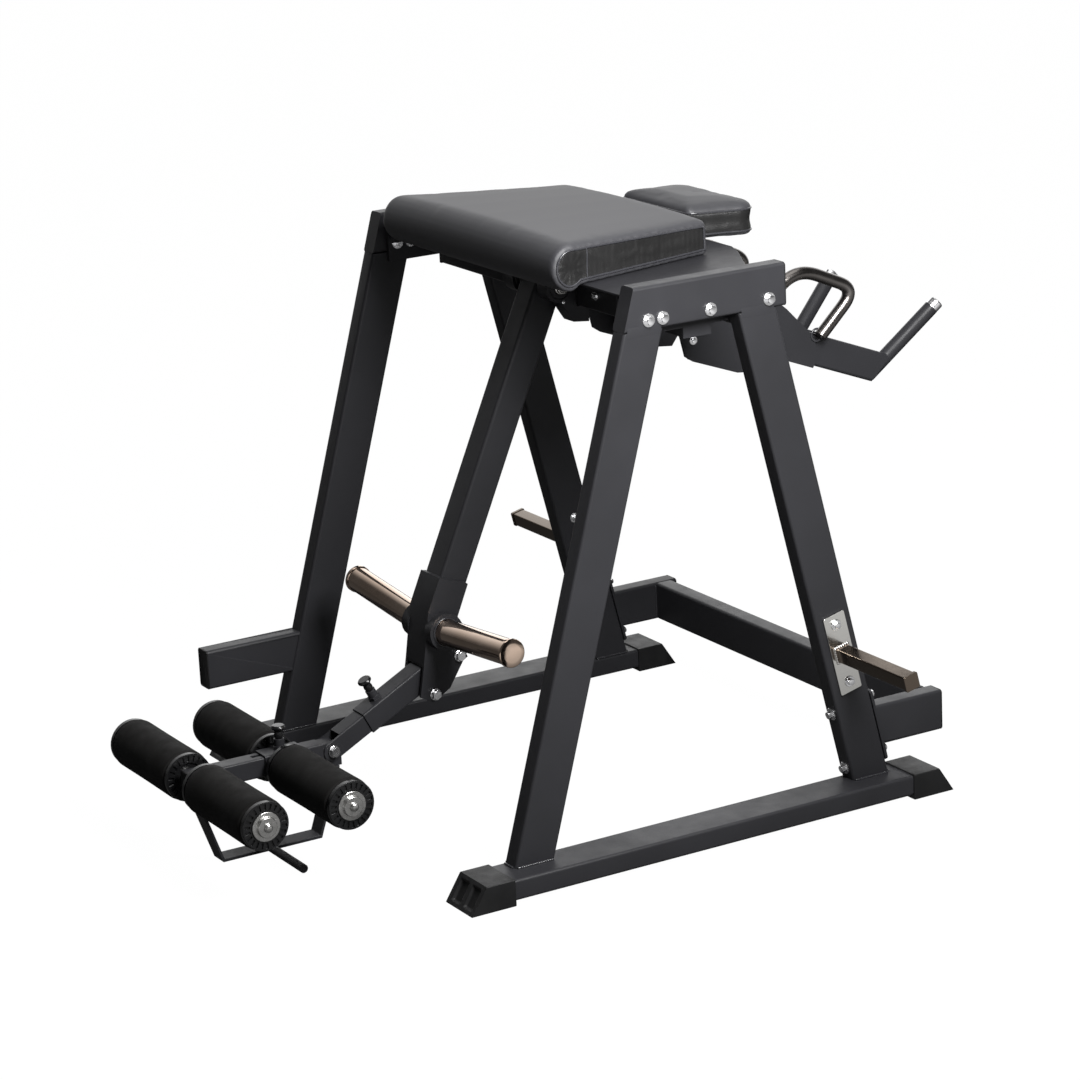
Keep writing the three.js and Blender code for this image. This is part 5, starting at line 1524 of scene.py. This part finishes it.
def make_floor():
    corners = [(FLOOR_HALF * a, FLOOR_HALF * b, 0) for a, b in ((-1, -1), (1, -1), (1, 1), (-1, 1))]
    mesh = mesh_from("floor", corners, [(0, 1, 2, 3)])
    material = bpy.data.materials.new("floor")
    material.use_nodes = True
    tree = material.node_tree
    link = tree.links.new
    shader = tree.nodes["Principled BSDF"]
    shader.inputs["Base Color"].default_value = (FLOOR_COLOUR, FLOOR_COLOUR, FLOOR_COLOUR, 1)
    shader.inputs["Roughness"].default_value = 0.9
    path = tree.nodes.new("ShaderNodeLightPath")
    place = tree.nodes.new("ShaderNodeTexCoord")
    split = tree.nodes.new("ShaderNodeSeparateXYZ")
    link(place.outputs["Object"], split.inputs[0])
    aside = mapped(tree, split.outputs["X"], FLOOR_ASIDE, (FLOOR_GLOSS_DARK, FLOOR_GLOSS_LIGHT))
    away = mapped(tree, split.outputs["Y"], FLOOR_AWAY, FLOOR_AWAY_SHARES)
    both = tree.nodes.new("ShaderNodeMath")
    both.operation = "MULTIPLY"
    link(aside, both.inputs[0])
    link(away, both.inputs[1])
    shown = both.outputs[0]
    strength = switched(tree, path.outputs["Is Camera Ray"], shown, FLOOR_SHOWN)
    glow = tree.nodes.new("ShaderNodeEmission")
    glow.inputs["Color"].default_value = (1, 1, 1, 1)
    link(strength, glow.inputs["Strength"])
    amount = tree.nodes.new("ShaderNodeMath")
    amount.operation = "MULTIPLY"
    amount.inputs[1].default_value = FLOOR_GLOW
    seen = tree.nodes.new("ShaderNodeMath")
    seen.operation = "MAXIMUM"
    link(path.outputs["Is Camera Ray"], seen.inputs[0])
    link(path.outputs["Is Glossy Ray"], seen.inputs[1])
    link(seen.outputs[0], amount.inputs[0])
    mix = tree.nodes.new("ShaderNodeMixShader")
    out = tree.nodes["Material Output"]
    link(amount.outputs[0], mix.inputs["Fac"])
    link(shader.outputs["BSDF"], mix.inputs[1])
    link(glow.outputs["Emission"], mix.inputs[2])
    link(mix.outputs["Shader"], out.inputs["Surface"])
    mesh.materials.append(material)
    floor = bpy.data.objects.new("floor", mesh)
    floor.location.z = -FLOOR_DROP
    bpy.context.scene.collection.objects.link(floor)


def make_lamp(name, place, target, size, power):
    data = bpy.data.lights.new(name, "AREA")
    data.shape = "SQUARE"
    data.size = size
    data.energy = power
    lamp = bpy.data.objects.new(name, data)
    lamp.location = place
    lamp.rotation_euler = (Vector(target) - Vector(place)).to_track_quat("-Z", "Y").to_euler()
    bpy.context.scene.collection.objects.link(lamp)


def make_camera():
    yaw, pitch, roll = (math.radians(v) for v in (CAMERA_YAW, CAMERA_PITCH, CAMERA_ROLL))
    ahead = Vector((-math.sin(yaw) * math.cos(pitch), math.cos(yaw) * math.cos(pitch), math.sin(pitch)))
    right = Vector((math.cos(yaw), math.sin(yaw), 0))
    up = right.cross(ahead)
    tilted_right = right * math.cos(roll) + up * math.sin(roll)
    tilted_up = up * math.cos(roll) - right * math.sin(roll)
    turn = Matrix((tilted_right, tilted_up, -ahead)).transposed().to_4x4()
    data = bpy.data.cameras.new("camera")
    data.sensor_width = SENSOR * 1000
    data.lens = CAMERA_FOCAL_SHARE * SENSOR * 1000
    data.clip_end = 100
    camera = bpy.data.objects.new("camera", data)
    camera.matrix_world = Matrix.Translation(at(*CAMERA_PLACE)) @ turn
    bpy.context.scene.collection.objects.link(camera)
    bpy.context.scene.camera = camera


make_camera()
make_studio()
make_main_pad()
make_head_pad()
make_rollers()
make_axle_caps()
make_loops()
make_grips()
make_horns()
make_feet()
make_fasteners()
make_end_caps()
make_welds()
for node_name in NODES:
    dress(node_name, look_of(node_name))
